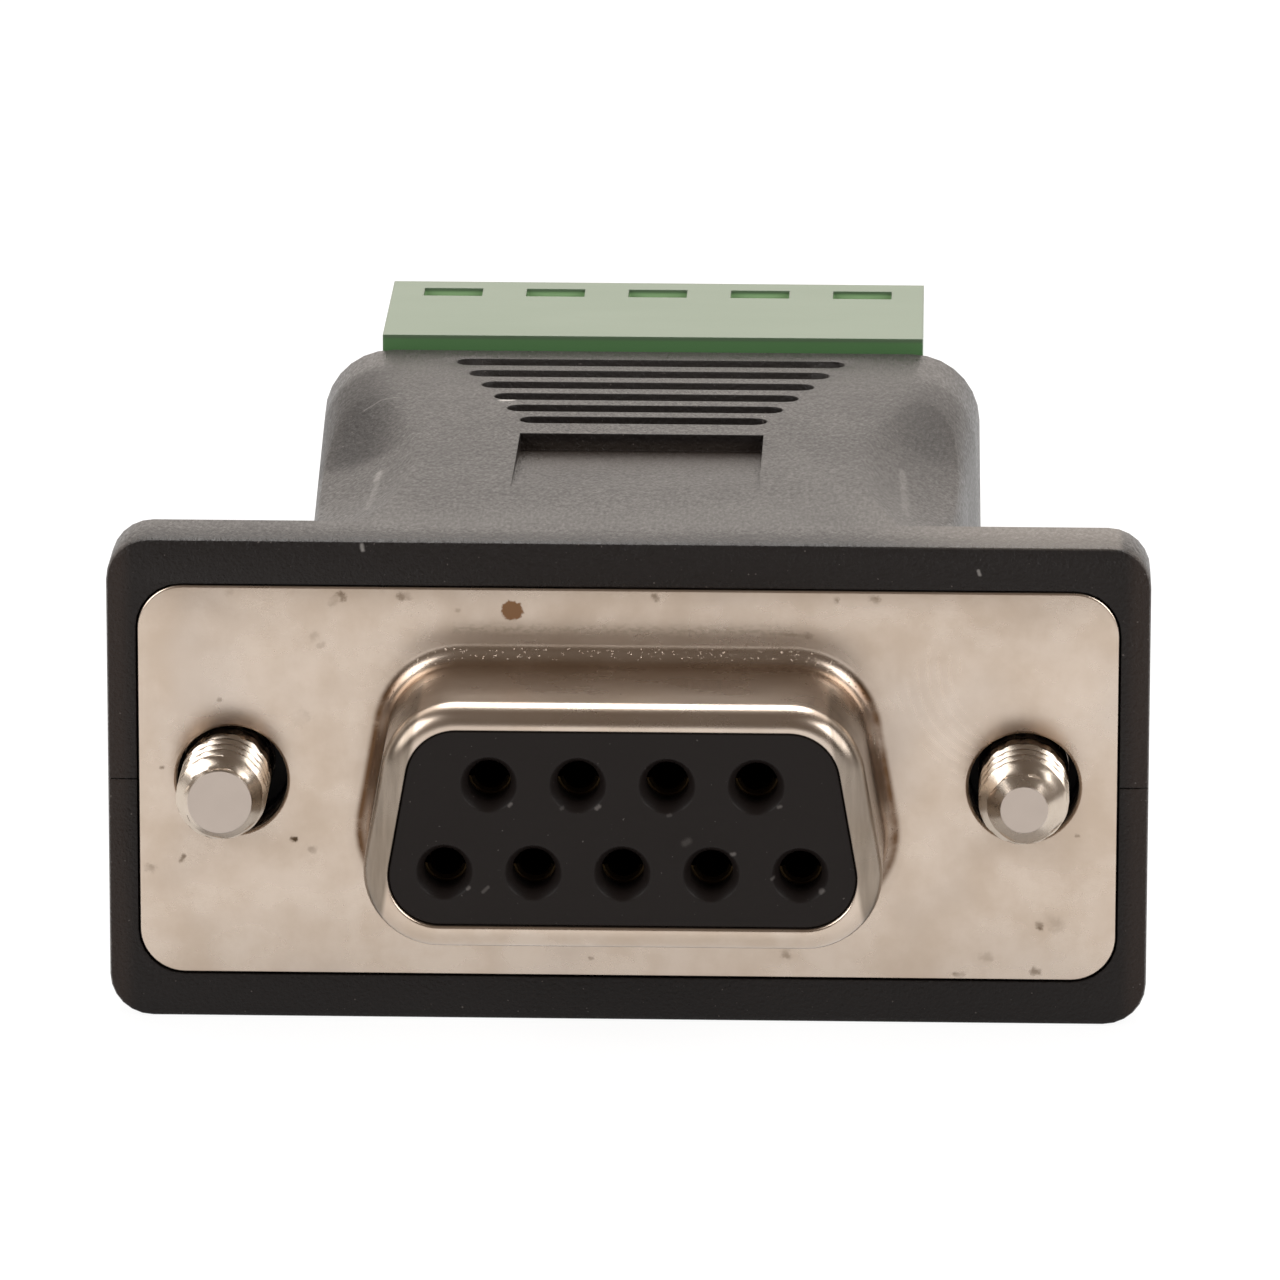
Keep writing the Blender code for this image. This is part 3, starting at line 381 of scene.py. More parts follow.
nickel, shader, place = material_with(
    "satin_nickel_plate", base=(0.60, 0.50, 0.415), roughness=0.28, metallic=1.0
)
clouds = noise(place, CLOUD_SIZE, detail=6.0, roughness=0.6)
blooms = noise(place, BLOOM_SIZE, detail=2.0)
grain = noise(place, NICKEL_GRAIN, detail=2.0)
smears = noise(place, SMEAR_SIZE, detail=4.0, stretch=(0.4, 1.0, 1.0))
ragged = (noise(place, STAIN_FRAY, detail=5.0, roughness=0.7) - 0.5) * 4
patchy = noise(place, STAIN_PATCHES, detail=5.0, stretch=(0.5, 1.0, 1.0)).between(*STAIN_RANGE)
stains = blots(place, True, PLATE_MARKS, ragged) * patchy.at_least(0.3)
rust = blots(place, True, RUST_SPOT, ragged * 0.3).between(*RUST_RANGE)
foot = place.node("ShaderNodeAttribute", output=2, attribute_name="foot")
across = abs(place.axis(0)) + place.axis(2) * math.tan(COLLAR_SLOPE)
# Brown in the crease at the collar's foot, strongest on its sides: partly a stain, partly painted shade.
foot_stain_and_shade = foot * abs(place.axis(0)).between(*STAIN_AND_SHADE_FROM).at_least(0.15)
foot_stain_and_shade = foot_stain_and_shade * smears.between(*SMEAR_RANGE).at_least(0.4)
streaks = noise(place, STREAK_SIZE, detail=4.0, stretch=(1.0, 0.3, 0.12))
# Painted reflection: the collar's side walls are darkened with vertical streaks, standing for the darker
# surroundings they reflect.
flank_reflection = across.between(*FLANK_REFLECTION_FROM) * (1 - place.axis(1).between(*FLANK_REFLECTION_END))
flecks = noise(place, FLECK_SIZE, detail=2.0, stretch=(0.5, 1.0, 1.0)).between(*FLECK_RANGE)
# A darker band, broken up by flecks, across the plate just above the collar.
band_above_collar = blots(place, True, BAND_ABOVE_COLLAR, ragged * 0.5 + clouds) * flecks
sparkle = noise(place, SPARKLE_SIZE, detail=1.0).between(*SPARKLE_RANGE) * foot.between(*SPARKLE_FOOT)
ripples_middle = Vector((RIPPLES_MIDDLE[0], 0, RIPPLES_MIDDLE[1])) * MM
outward = place.vector("DISTANCE", place, ripples_middle, output=1)
ripples = outward.sum("SINE", outward * (math.tau / (RIPPLE_PITCH * MM)))
ripples = ripples * blots(place, True, RIPPLES_PLACE, clouds - 0.5)
tint = layered(
    mixed(clouds.between(*CLOUD_RANGE), NICKEL_LIGHT, NICKEL_DARK),
    (blooms.between(*BLOOM_RANGE) * 0.5, NICKEL_BLOOM),
    (foot_stain_and_shade, FOOT_STAIN_AND_SHADE),
    (flank_reflection * streaks.at_least(0.5), FLANK_PAINTED_REFLECTION),
    (band_above_collar * BAND_ABOVE_COLLAR_STRENGTH, BAND_ABOVE_COLLAR_TONE),
    (stains, STAIN_TONE),
    (rust, RUST_TONE),
)
drive(shader, Base_Color=tint)
drive(shader, Metallic=1 - rust * 0.8 - stains * 0.4)
drive(shader, Roughness=0.19 + clouds * 0.1 + smears * 0.08 + stains * 0.2 + ripples * 0.02)
drive(shader, Normal=relief(grain + clouds * 4 + ripples * 0.6 + sparkle * 9, NICKEL_RELIEF))

bm = bmesh.new()
foot_layer = bm.verts.layers.float.new("foot")
half_spacing = SCREW_SPACING / 2
fronts = []
backs = []
plate_rings = [
    ring(bm, rounded_rectangle(PLATE_WIDTH - 2 * inset, PLATE_HEIGHT - 2 * inset, PLATE_CORNER - inset), y)
    for inset, y in rounded_lip()
]
plate_rings.append(ring(bm, rounded_rectangle(PLATE_WIDTH, PLATE_HEIGHT, PLATE_CORNER), PLATE_THICK))
skin(bm, plate_rings)
fronts.append(plate_rings[0])
backs.append(plate_rings[-1])
for side in (-1, 1):
    hole_x = side * half_spacing
    hole_rings = [ring(bm, circle(hole_x, 0, HOLE_RADIUS + grow), y) for grow, y in rounded_lip()]
    hole_rings.append(ring(bm, circle(hole_x, 0, HOLE_RADIUS), PLATE_THICK))
    skin(bm, hole_rings)
    fronts.append(hole_rings[0])
    backs.append(hole_rings[-1])
rim_y = COLLAR_RIM - COLLAR_REACH
lip = COLLAR_WALL / 4
sections = arc((COLLAR_FOOT, -COLLAR_FOOT), COLLAR_FOOT, 90, 180, ARC_STEPS)
sections += arc((-COLLAR_RIM, rim_y), COLLAR_RIM, 0, -90, ARC_STEPS)
sections += arc((lip - COLLAR_LIP, lip - COLLAR_REACH), lip, -90, -180, EDGE_STEPS)
sections += [(-COLLAR_LIP, COLLAR_WALL - COLLAR_REACH), (-COLLAR_RIM, COLLAR_WALL - COLLAR_REACH)]
sections += arc((-COLLAR_RIM, rim_y), COLLAR_RIM - COLLAR_WALL, -90, 0, EDGE_STEPS)
sections += [(-COLLAR_WALL, -COLLAR_FOOT)]
inner_foot = (COLLAR_FOOT, PLATE_THICK - COLLAR_FOOT)
sections += arc(inner_foot, COLLAR_FOOT + COLLAR_WALL, 180, 90, ARC_STEPS)[1:-1]
sections += [(COLLAR_FOOT, PLATE_THICK)]
collar_rings = [ring(bm, d_outline(offset), y) for offset, y in sections]
skin(bm, collar_rings)
apron = ring(bm, d_outline(COLLAR_FOOT + APRON), 0)
skin(bm, [apron, collar_rings[0]])
fill(bm, fronts + [apron])
for number, share in enumerate(FOOT_SHARES):
    for vert in collar_rings[number]:
        vert[foot_layer] = share
fill(bm, backs + [collar_rings[-1]])
top = PLATE_HEIGHT / 2
tab_back = TAB_FRONT + COLLAR_WALL
for side_x, side_z in ((-1, 1), (1, 1), (-1, -1), (1, -1)):
    tab = [(PLATE_THICK / 2, top), (PLATE_THICK / 2, top - PLATE_THICK), (TAB_FRONT, top - PLATE_THICK)]
    tab += [(TAB_FRONT, top - TAB_FOLD), (tab_back, top - TAB_FOLD), (tab_back, top)]
    extrude_across(bm, [(y, z * side_z) for y, z in tab], side_x * TAB_SPACING / 2, TAB_WIDTH / 2)
finished("front_metal_shell", bm, nickel, "adapter", "nickel_plate", "dsub_front_shell", place=origin)

# The front insulator: a block of black glass-filled plastic that fills the collar.
# Its nine entries are countersunk, and lead a plug's pins into the contacts behind.
FACE_SETBACK = 0.1 * MM
NOSE_EDGE = 0.03 * MM
NOSE_GAP = 0.02 * MM
INSULATOR_GAP = 0.1 * MM
INSULATOR_RIM = 0.4 * MM
RIM_THICK = 1.4 * MM
RIM_FRONT = PLATE_THICK + INSULATOR_GAP
RIM_BACK = RIM_FRONT + RIM_THICK
CONTACT_PITCH = 2.77 * MM
ROW_SPACING = 2.84 * MM
UPPER_COUNT = 4
LOWER_COUNT = 5
ROWS = ((UPPER_COUNT, 1), (LOWER_COUNT, -1))
# Each row of an entry's profile: (radius, depth), in millimetres.
ENTRY_PROFILE = ((0.90, 0.0), (0.86, 0.03), (0.70, 0.36), (0.67, 0.44), (0.67, 1.3), (0.9, 1.3), (0.9, 4.0))
BORE_STEPS = 40
INSULATOR_SHEEN = 0.2
INSULATOR_GRAIN = 0.1 * MM
INSULATOR_PATCHES = 1.2 * MM
INSULATOR_RELIEF = 0.003 * MM
INSULATOR_EDGE = 0.05 * MM
GLINT_AND_SCRATCH_FRAY = 0.05 * MM
DUST_SIZE = 0.13 * MM
DUST_RANGE = (0.76, 0.84)
INSULATOR_TONE = (0.0098, 0.0069, 0.006, 1)
DUST_AND_GLINT_TONE = (0.24, 0.22, 0.21, 1)
DUST_STRENGTH = 0.3
GLINT_AND_SCRATCH_STRENGTH = 0.45
# Marks on the face: mostly painted glints on the rims of the entries, with one scratch and one smudge.
FACE_GLINTS_AND_SCRATCHES = (
    ((-3.52, 0.74), (-3.46, 0.8), 0.05, 0.9),
    ((-0.8, 0.68), (-0.72, 0.75), 0.06, 1.0),
    ((-1.9, 0.66), (-1.86, 0.68), 0.05, 0.4),
    ((1.42, 0.47), (1.5, 0.49), 0.05, 0.4),
    ((4.85, 0.78), (4.92, 0.8), 0.05, 0.8),
    ((-4.82, -1.97), (-4.77, -1.92), 0.05, 0.9),
    ((-4.34, -2.06), (-4.18, -1.9), 0.05, 0.6),
    ((3.4, -0.77), (3.48, -0.75), 0.06, 1.0),
    ((1.94, -0.42), (2.06, -0.34), 0.1, 0.35),
    ((6.18, -1.97), (6.25, -1.92), 0.06, 0.9),
    ((4.66, -1.55), (4.7, -1.52), 0.05, 0.7),
)


def contact_places():
    """Middle of each contact as (x, z): four above, five below."""
    places = []
    for count, side in ROWS:
        for number in range(count):
            places.append(((number - (count - 1) / 2) * CONTACT_PITCH, side * ROW_SPACING / 2))
    return places


black, shader, place = material_with("insulator_black", base=(0.012, 0.011, 0.0105), roughness=0.45)
shader.inputs["Specular IOR Level"].default_value = INSULATOR_SHEEN
grain = noise(place, INSULATOR_GRAIN, detail=3.0)
patches = noise(place, INSULATOR_PATCHES, detail=4.0, stretch=(0.5, 1.0, 1.0))
glints_and_scratches = blots(place, True, FACE_GLINTS_AND_SCRATCHES, (noise(place, GLINT_AND_SCRATCH_FRAY) - 0.5) * 0.8)
dust = noise(place, DUST_SIZE, detail=1.0).between(*DUST_RANGE) * DUST_STRENGTH
# Real dust and the painted glints share one pale tone.
pale = dust.most(glints_and_scratches * GLINT_AND_SCRATCH_STRENGTH)
drive(shader, Base_Color=mixed(pale, INSULATOR_TONE, DUST_AND_GLINT_TONE))
drive(shader, Roughness=0.38 + patches * 0.16 + pale * 0.2)
drive(shader, Normal=relief(grain + patches * 1.5, INSULATOR_RELIEF, edge=INSULATOR_EDGE))

bm = bmesh.new()
face_y = FACE_SETBACK - COLLAR_REACH
body = -COLLAR_WALL - INSULATOR_GAP
nose = -COLLAR_LIP - NOSE_GAP
nose_back = COLLAR_WALL + INSULATOR_GAP - COLLAR_REACH
sections = [(nose - NOSE_EDGE, face_y), (nose, face_y + NOSE_EDGE), (nose, nose_back)]
sections += [(body, nose_back + body - nose), (body, RIM_FRONT)]
sections += [(INSULATOR_RIM, RIM_FRONT), (INSULATOR_RIM, RIM_BACK)]
outer = [ring(bm, d_outline(offset), y) for offset, y in sections]
skin(bm, outer)
faces = [outer[0]]
ends = [outer[-1]]
for x, z in contact_places():
    bore = [ring(bm, circle(x, z, r * MM, BORE_STEPS), face_y + y * MM) for r, y in ENTRY_PROFILE]
    bore.append(ring(bm, circle(x, z, ENTRY_PROFILE[-1][0] * MM, BORE_STEPS), RIM_BACK))
    skin(bm, bore)
    faces.append(bore[0])
    ends.append(bore[-1])
fill(bm, faces)
fill(bm, ends)
finished("front_insulator_block", bm, black, "adapter", "insulator_plastic", "front_insulator", place=origin)

# Nine socket contacts, turned from brass and flashed with gold, in two rows of four and five.
# Each has a slit barrel that grips a pin, a ring that the insulators hold, and a solder cup behind.
BARREL_RADIUS = 0.8
BARREL_BORE = 0.52
BARREL_SETBACK = 1.4
BARREL_FRONT = (FACE_SETBACK - COLLAR_REACH) / MM + BARREL_SETBACK
BARREL_DEPTH = 5.2
BARREL_MOUTH = 0.1
BARREL_EDGE = 0.06
RING_FRONT = 1.75
RING_RADIUS = 1.05
RING_THICK = 0.6
TAIL_RADIUS = 0.65
CUP_FRONT = 5.5
CUP_END = 8.0
CUP_RADIUS = 0.57
CUP_BORE = 0.38
CUP_DEPTH = 1.9
SLIT_WIDTH = 0.22 * MM
SLIT_LENGTH = 5 * MM
CONTACT_STEPS = 32
TARNISH_SIZE = 0.5 * MM
GOLD_GRAIN = 0.08 * MM
GOLD_RELIEF = 0.001 * MM
SHADED_GOLD_LIGHT = (0.10, 0.066, 0.03, 1)
SHADED_GOLD_DARK = (0.05, 0.032, 0.016, 1)
SOCKET_KINDS = {int: "Int", float: "Float", bpy.types.Material: "Material"}


def lathe(bm, profile, steps):
    """A solid turned about the Y axis from (radius, y) points in millimetres, closed at both ends."""
    rings = [ring(bm, circle(0, 0, radius * MM, steps), y * MM) for radius, y in profile]
    skin(bm, rings)
    for points in (rings[0], rings[-1]):
        bm.faces.new(points)


def group_of(name, values):
    """A geometry tree with one named input for each value, as (tree, wires by name)."""
    tree = bpy.data.node_groups.new(name, "GeometryNodeTree")
    tree.interface.new_socket("Geometry", in_out="INPUT", socket_type="NodeSocketGeometry")
    for label, value in values.items():
        kind = "NodeSocket" + SOCKET_KINDS[type(value)]
        tree.interface.new_socket(label, in_out="INPUT", socket_type=kind)
    tree.interface.new_socket("Geometry", in_out="OUTPUT", socket_type="NodeSocketGeometry")
    source = tree.nodes.new("NodeGroupInput")
    return tree, {label: Wire(tree, source.outputs[label]) for label in ("Geometry", *values)}


def cut(geometry, size, middle):
    """Cuts a box out of a closed solid."""
    box = size.node("GeometryNodeMeshCube", {"Size": size})
    box = box.node("GeometryNodeTransform", {"Geometry": box, "Translation": middle})
    solids = {"Mesh 1": geometry, "Mesh 2": box}
    return geometry.node("GeometryNodeMeshBoolean", solids, operation="DIFFERENCE", solver="MANIFOLD")


def close_group(tree, geometry, material):
    """Ends a tree in Realize Instances and Set Material."""
    solid = geometry.node("GeometryNodeRealizeInstances", {"Geometry": geometry})
    coated = solid.node("GeometryNodeSetMaterial", {"Geometry": solid, "Material": material})
    tree.links.new(coated.socket, tree.nodes.new("NodeGroupOutput").inputs["Geometry"])


def grown(name, mesh, tree, values):
    """Runs a geometry tree on a mesh with its inputs set, and opens the result as a plain mesh."""
    holder = bpy.data.objects.new(name, mesh)
    bpy.context.scene.collection.objects.link(holder)
    modifier = holder.modifiers.new("Grow", "NODES")
    modifier.node_group = tree
    for socket in tree.interface.items_tree:
        if socket.name in values:
            modifier[socket.identifier] = values[socket.name]
    graph = bpy.context.evaluated_depsgraph_get()
    result = bpy.data.meshes.new_from_object(holder.evaluated_get(graph))
    bpy.data.objects.remove(holder, do_unlink=True)
    bm = bmesh.new()
    bm.from_mesh(result)
    bpy.data.meshes.remove(result)
    return bm


# Painted shade: the gold is coloured far darker than gold, standing for the shade deep inside the entries.
gold, shader, place = material_with("contact_gold", base=(0.16, 0.10, 0.045), roughness=0.45, metallic=1.0)
tarnish = noise(place, TARNISH_SIZE, detail=4.0)
drive(shader, Base_Color=mixed(tarnish, SHADED_GOLD_LIGHT, SHADED_GOLD_DARK))
drive(shader, Roughness=0.4 + tarnish * 0.2)
drive(shader, Normal=relief(noise(place, GOLD_GRAIN), GOLD_RELIEF))

bm = bmesh.new()
profile = [
    (BARREL_BORE, BARREL_FRONT + BARREL_DEPTH),
    (BARREL_BORE, BARREL_FRONT + BARREL_MOUTH),
    (BARREL_BORE + BARREL_MOUTH, BARREL_FRONT),
    (BARREL_RADIUS - BARREL_EDGE, BARREL_FRONT),
    (BARREL_RADIUS, BARREL_FRONT + BARREL_EDGE),
    (BARREL_RADIUS, RING_FRONT),
    (RING_RADIUS, RING_FRONT),
    (RING_RADIUS, RING_FRONT + RING_THICK),
    (TAIL_RADIUS, RING_FRONT + RING_THICK),
    (TAIL_RADIUS, CUP_FRONT),
    (CUP_RADIUS, CUP_FRONT),
    (CUP_RADIUS, CUP_END),
    (CUP_BORE, CUP_END),
    (CUP_BORE, CUP_END - CUP_DEPTH),
]
lathe(bm, profile, CONTACT_STEPS)
bmesh.ops.recalc_face_normals(bm, faces=bm.faces)
contact_mesh = bpy.data.meshes.new("contact")
bm.to_mesh(contact_mesh)
bm.free()
values = {
    "Upper Count": UPPER_COUNT,
    "Lower Count": LOWER_COUNT,
    "Pitch": CONTACT_PITCH,
    "Row Spacing": ROW_SPACING,
    "Slit Width": SLIT_WIDTH,
    "Metal": gold,
}
tree, wires = group_of("contact_rows", values)
slit_width = wires["Slit Width"]
slit_across = 4 * BARREL_RADIUS * MM
slit = slit_width.node("ShaderNodeCombineXYZ", {"X": slit_across, "Y": SLIT_LENGTH, "Z": slit_width})
slitted = cut(wires["Geometry"], slit, (0, BARREL_FRONT * MM, 0))
rows = []
for label, side in (("Upper Count", 1), ("Lower Count", -1)):
    count = wires[label]
    pitch = wires["Pitch"]
    start = (1 - count) * pitch * 0.5
    height = wires["Row Spacing"] * (side * 0.5)
    first = start.node("ShaderNodeCombineXYZ", {"X": start, "Z": height})
    step = pitch.node("ShaderNodeCombineXYZ", {"X": pitch})
    line = step.node("GeometryNodeMeshLine", {"Count": count, "Start Location": first, "Offset": step})
    turn = (0, 0 if side > 0 else math.pi, 0)
    row = line.node("GeometryNodeInstanceOnPoints", {"Points": line, "Instance": slitted, "Rotation": turn})
    rows.append(row)
both = rows[0].node("GeometryNodeJoinGeometry")
join = both.socket.node
for row in rows:
    tree.links.new(row.socket, join.inputs["Geometry"])
close_group(tree, both, wires["Metal"])
bm = grown("contacts", contact_mesh, tree, values)
contact_nodes = [f"socket_contact_{number + 1}" for number in range(len(contact_places()))]
finished("socket_contacts", bm, gold, "adapter", "contact_metal", *contact_nodes, place=origin)

# The rear insulator: a second block of the same black plastic, pushed over the contacts from behind.
# The two blocks hold the contacts' rings between them.


def coat(node, material):
    """Covers a node of the frame, which keeps its own mesh, with a material."""
    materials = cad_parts[node].data.materials
    materials.clear()
    materials.append(material)


coat("rear_insulator", black)

# The rear metal shell: a second plate of drawn and nickel-plated steel, with a cup for the rear insulator.
# The front shell's tabs are folded over it. It sits out of sight and out of the light, so it is rougher and
# its colour is painted much darker, as shade.
REAR_NICKEL_PATCHES = 0.8 * MM
SHADED_NICKEL_LIGHT = (0.13, 0.105, 0.085, 1)
SHADED_NICKEL_DARK = (0.07, 0.05, 0.038, 1)

dull_nickel, shader, place = material_with(
    "dull_nickel_plate", base=(0.10, 0.08, 0.065), roughness=0.6, metallic=1.0
)
tarnish = noise(place, REAR_NICKEL_PATCHES, detail=4.0)
drive(shader, Base_Color=mixed(tarnish, SHADED_NICKEL_LIGHT, SHADED_NICKEL_DARK))
drive(shader, Roughness=0.5 + tarnish * 0.2)
coat("dsub_rear_shell", dull_nickel)

# The circuit board: glass laminate with copper traces under a green solder mask.
# It sits between the two rows of solder cups and carries them to the header's pins.
MASK_GREEN = (0.02, 0.10, 0.045, 1)
TRACE_GREEN = (0.045, 0.17, 0.07, 1)
TRACE_HEIGHT = 0.015 * MM
TRACE_SIZE = 1.1 * MM
TRACE_EDGE = (0.5, 0.52)
WEAVE_SIZE = 0.3 * MM

laminate, shader, place = material_with("board_mask_green", base=(0.03, 0.12, 0.05), roughness=0.35)
weave = noise(place, WEAVE_SIZE, detail=2.0)
traces = noise(place, TRACE_SIZE, detail=0.0).between(*TRACE_EDGE)
drive(shader, Base_Color=mixed(traces, MASK_GREEN, TRACE_GREEN))
drive(shader, Roughness=0.3 + weave * 0.15)
drive(shader, Normal=relief(traces + weave * 0.3, TRACE_HEIGHT))
coat("circuit_board", laminate)

# The green header: a shroud of glossy green plastic, open at the back for a pluggable terminal.
# Five windows near its edge let the plug's latches show, and its foot sits inside the housing.
HEADER_EDGE = 0.12 * MM
WINDOW_LIP = 0.06 * MM
HEADER_WINDOWS = 31.0 * MM
WINDOW_END = (33.9 * MM, 34.0 * MM)
WINDOW_FLOOR = (0.9 * MM, 1.1 * MM)
WINDOW_SIDE = (8.4 * MM, 8.5 * MM)
FLAT = math.radians(0.5)
FLOW_SIZE = 3 * MM
HEADER_GRAIN = 0.07 * MM
HEADER_RELIEF = 0.002 * MM
GREEN_DEEP = (0.092, 0.208, 0.082, 1)
GREEN_PALE = (0.102, 0.226, 0.090, 1)
TOP_GREEN_PAINTED_SHEEN = (0.100, 0.158, 0.090, 1)
LATCH_GREEN = (0.30, 0.46, 0.25, 1)


def merged(node):
    """A copy of a node's mesh, its loose triangles joined up and its flat faces made whole."""
    bm = bmesh.new()
    bm.from_mesh(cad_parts[node].data)
    bmesh.ops.remove_doubles(bm, verts=bm.verts, dist=WELD)
    bmesh.ops.dissolve_limit(bm, angle_limit=FLAT, verts=bm.verts, edges=bm.edges)
    return bm


green, shader, place = material_with("header_green", base=(0.075, 0.18, 0.062), roughness=0.3)
header_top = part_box("header_housing")[1].z - AXIS_Z
flow = noise(place, FLOW_SIZE, detail=3.0, stretch=(0.4, 1.0, 1.0))
grain = noise(place, HEADER_GRAIN, detail=2.0)
below = header_top - place.axis(2)
inside = below.between(WINDOW_LIP, 3 * WINDOW_LIP)
# Painted reflection: the top gets a greyer, warmer green than the sides, standing for the backdrop it
# reflects.
tone_with_painted_top = mixed(inside, TOP_GREEN_PAINTED_SHEEN, mixed(flow, GREEN_DEEP, GREEN_PALE))
window_tone = mixed(inside, tone_with_painted_top, LATCH_GREEN)
windows = place.axis(1).between(HEADER_WINDOWS, HEADER_WINDOWS + WINDOW_LIP)
windows = windows * (1 - below.between(*WINDOW_FLOOR))
windows = windows * (1 - place.axis(1).between(*WINDOW_END)) * (1 - abs(place.axis(0)).between(*WINDOW_SIDE))
drive(shader, Base_Color=mixed(windows, tone_with_painted_top, window_tone))
drive(shader, Roughness=0.26 + flow * 0.08)
drive(shader, Normal=relief(grain + flow * 3, HEADER_RELIEF, edge=HEADER_EDGE))
bm = merged("header_housing")
finished("header_shroud", bm, green, "adapter", "header_green", "header_housing", welded=False)

# Five square pins of tinned bronze, pressed through the wall at the header's inner end.
# Inside the housing they are bent down, go through the board and are soldered to it.
PIN_COUNT = 5
PIN_EDGE = 0.06 * MM
TIN_PATCHES = 0.3 * MM
TIN_RELIEF = 0.002 * MM
TIN_BRIGHT = (0.78, 0.77, 0.74, 1)
TIN_DULL = (0.62, 0.60, 0.57, 1)

tin, shader, place = material_with("tinned_pin", base=(0.75, 0.74, 0.71), roughness=0.25, metallic=1.0)
dull = noise(place, TIN_PATCHES, detail=4.0)
drive(shader, Base_Color=mixed(dull, TIN_BRIGHT, TIN_DULL))
drive(shader, Roughness=0.2 + dull * 0.2)
drive(shader, Normal=relief(dull, TIN_RELIEF, edge=PIN_EDGE))
pin_nodes = [f"header_pin_{number + 1}" for number in range(PIN_COUNT)]
pin_places = [sum((corner.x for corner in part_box(node)), 0) / 2 for node in pin_nodes]
pin_pitch = (pin_places[-1] - pin_places[0]) / (PIN_COUNT - 1)
values = {"Count": PIN_COUNT, "Pitch": pin_pitch, "Metal": tin}
tree, wires = group_of("pin_row", values)
start = wires["Pitch"] * (1 - wires["Count"]) * 0.5
first = start.node("ShaderNodeCombineXYZ", {"X": start})
step = start.node("ShaderNodeCombineXYZ", {"X": wires["Pitch"]})
line = step.node("GeometryNodeMeshLine", {"Count": wires["Count"], "Start Location": first, "Offset": step})
row = line.node("GeometryNodeInstanceOnPoints", {"Points": line, "Instance": wires["Geometry"]})
close_group(tree, row, wires["Metal"])
bm = merged(pin_nodes[PIN_COUNT // 2])
pin_mesh = bpy.data.meshes.new("pin")
bm.to_mesh(pin_mesh)
bm.free()
bm = grown("pins", pin_mesh, tree, values)
finished("header_pins", bm, tin, "adapter", "tinned_pin", *pin_nodes)

# The housing: two halves moulded in black ABS and pressed together on pegs.
# Spark erosion of the mould leaves a fine matt grain, and handling leaves dust and light scratches. Painted
# highlights lie along the shoulders' edges, and painted light brightens the rear and right of the top and the
# fronts of the flange's ends.
SHELL_EDGE = 0.08 * MM
DISH_SOFTNESS = 1.3 * MM
DISH_SAMPLES = 16
DISH_START = (2.9 * MM, 3.6 * MM)
DISH_END = (25 * MM, 26 * MM)
DISH_INNER = (5 * MM, 6.5 * MM)
DISH_LOWER = (2 * MM, 3 * MM)
GROOVE_BOX = ((-6.6 * MM, 6.6 * MM), (5.5 * MM, 25.6 * MM))
GROOVE_MARGIN = 0.1 * MM
GROOVE_FLOOR = (6 * MM, 6.2 * MM)
GROOVE_TOP = (7.25 * MM, 7.55 * MM)
UPPER_SIDE = (4 * MM, 5 * MM)
FLANGE_FACE = (0.3 * MM, 0.6 * MM)
FLANGE_ENDS = (15.5 * MM, 16.1 * MM)
REAR_SHEEN_LENGTH = (13 * MM, 25 * MM)
REAR_SHEEN_LEVEL = (6.8 * MM, 7.6 * MM)
LIT_SIDE = (6 * MM, 13 * MM)
LIT_LEVEL = (7.7 * MM, 7.8 * MM)
PLASTIC_TONE = (0.0108, 0.008, 0.0071, 1)
RECESS_TONE = (0.024, 0.018, 0.0145, 1)
REAR_TOP_SHEEN_TONE = (0.065, 0.06, 0.057, 1)
FLANGE_ENDS_SHEEN_TONE = (0.024, 0.0155, 0.012, 1)
RIGHT_TOP_LIGHT_TONE = (0.10, 0.086, 0.074, 1)
SPECK_TONE = (0.16, 0.14, 0.13, 1)
SCRATCH_AND_HIGHLIGHT_TONE = (0.42, 0.40, 0.38, 1)
EROSION_DEPTH = 0.055 * MM
EROSION_GRAIN = 0.13 * MM
MOTTLE_SIZE = 0.1 * MM
SHELL_PATCHES = 3 * MM
SHELL_SHEEN = 0.24
MARK_FRAY = 0.12 * MM
SPECK_SIZE = 0.11 * MM
SPECK_RANGE = (0.80, 0.85)
SPECK_STRENGTH = 0.6
DISH_SHADES = (((-9.7, 23.0), (-9.4, 15.0), 1.1, 1.0), ((9.8, 22.0), (9.5, 16.0), 1.0, 0.45))
# Marks on the top: three scratches, then three painted highlights along the edges of the shoulders beside the
# side pockets.
TOP_SCRATCHES_AND_HIGHLIGHTS = (
    ((-9.3, 19.0), (-8.15, 19.6), 0.05, 0.22),
    ((-4.75, 19.25), (-4.4, 19.35), 0.10, 1.0),
    ((4.2, 18.45), (4.36, 18.4), 0.06, 0.8),
    ((-8.42, 11.9), (-8.46, 10.9), 0.12, 0.30),
    ((-8.42, 11.0), (-8.56, 6.2), 0.10, 0.14),
    ((8.51, 12.7), (8.7, 6.4), 0.12, 0.12),
)
FLANGE_MARKS = (
    ((-8.36, 7.70), (-8.33, 7.55), 0.06, 0.5),
    ((11.0, 7.04), (11.04, 6.92), 0.05, 0.5),
)

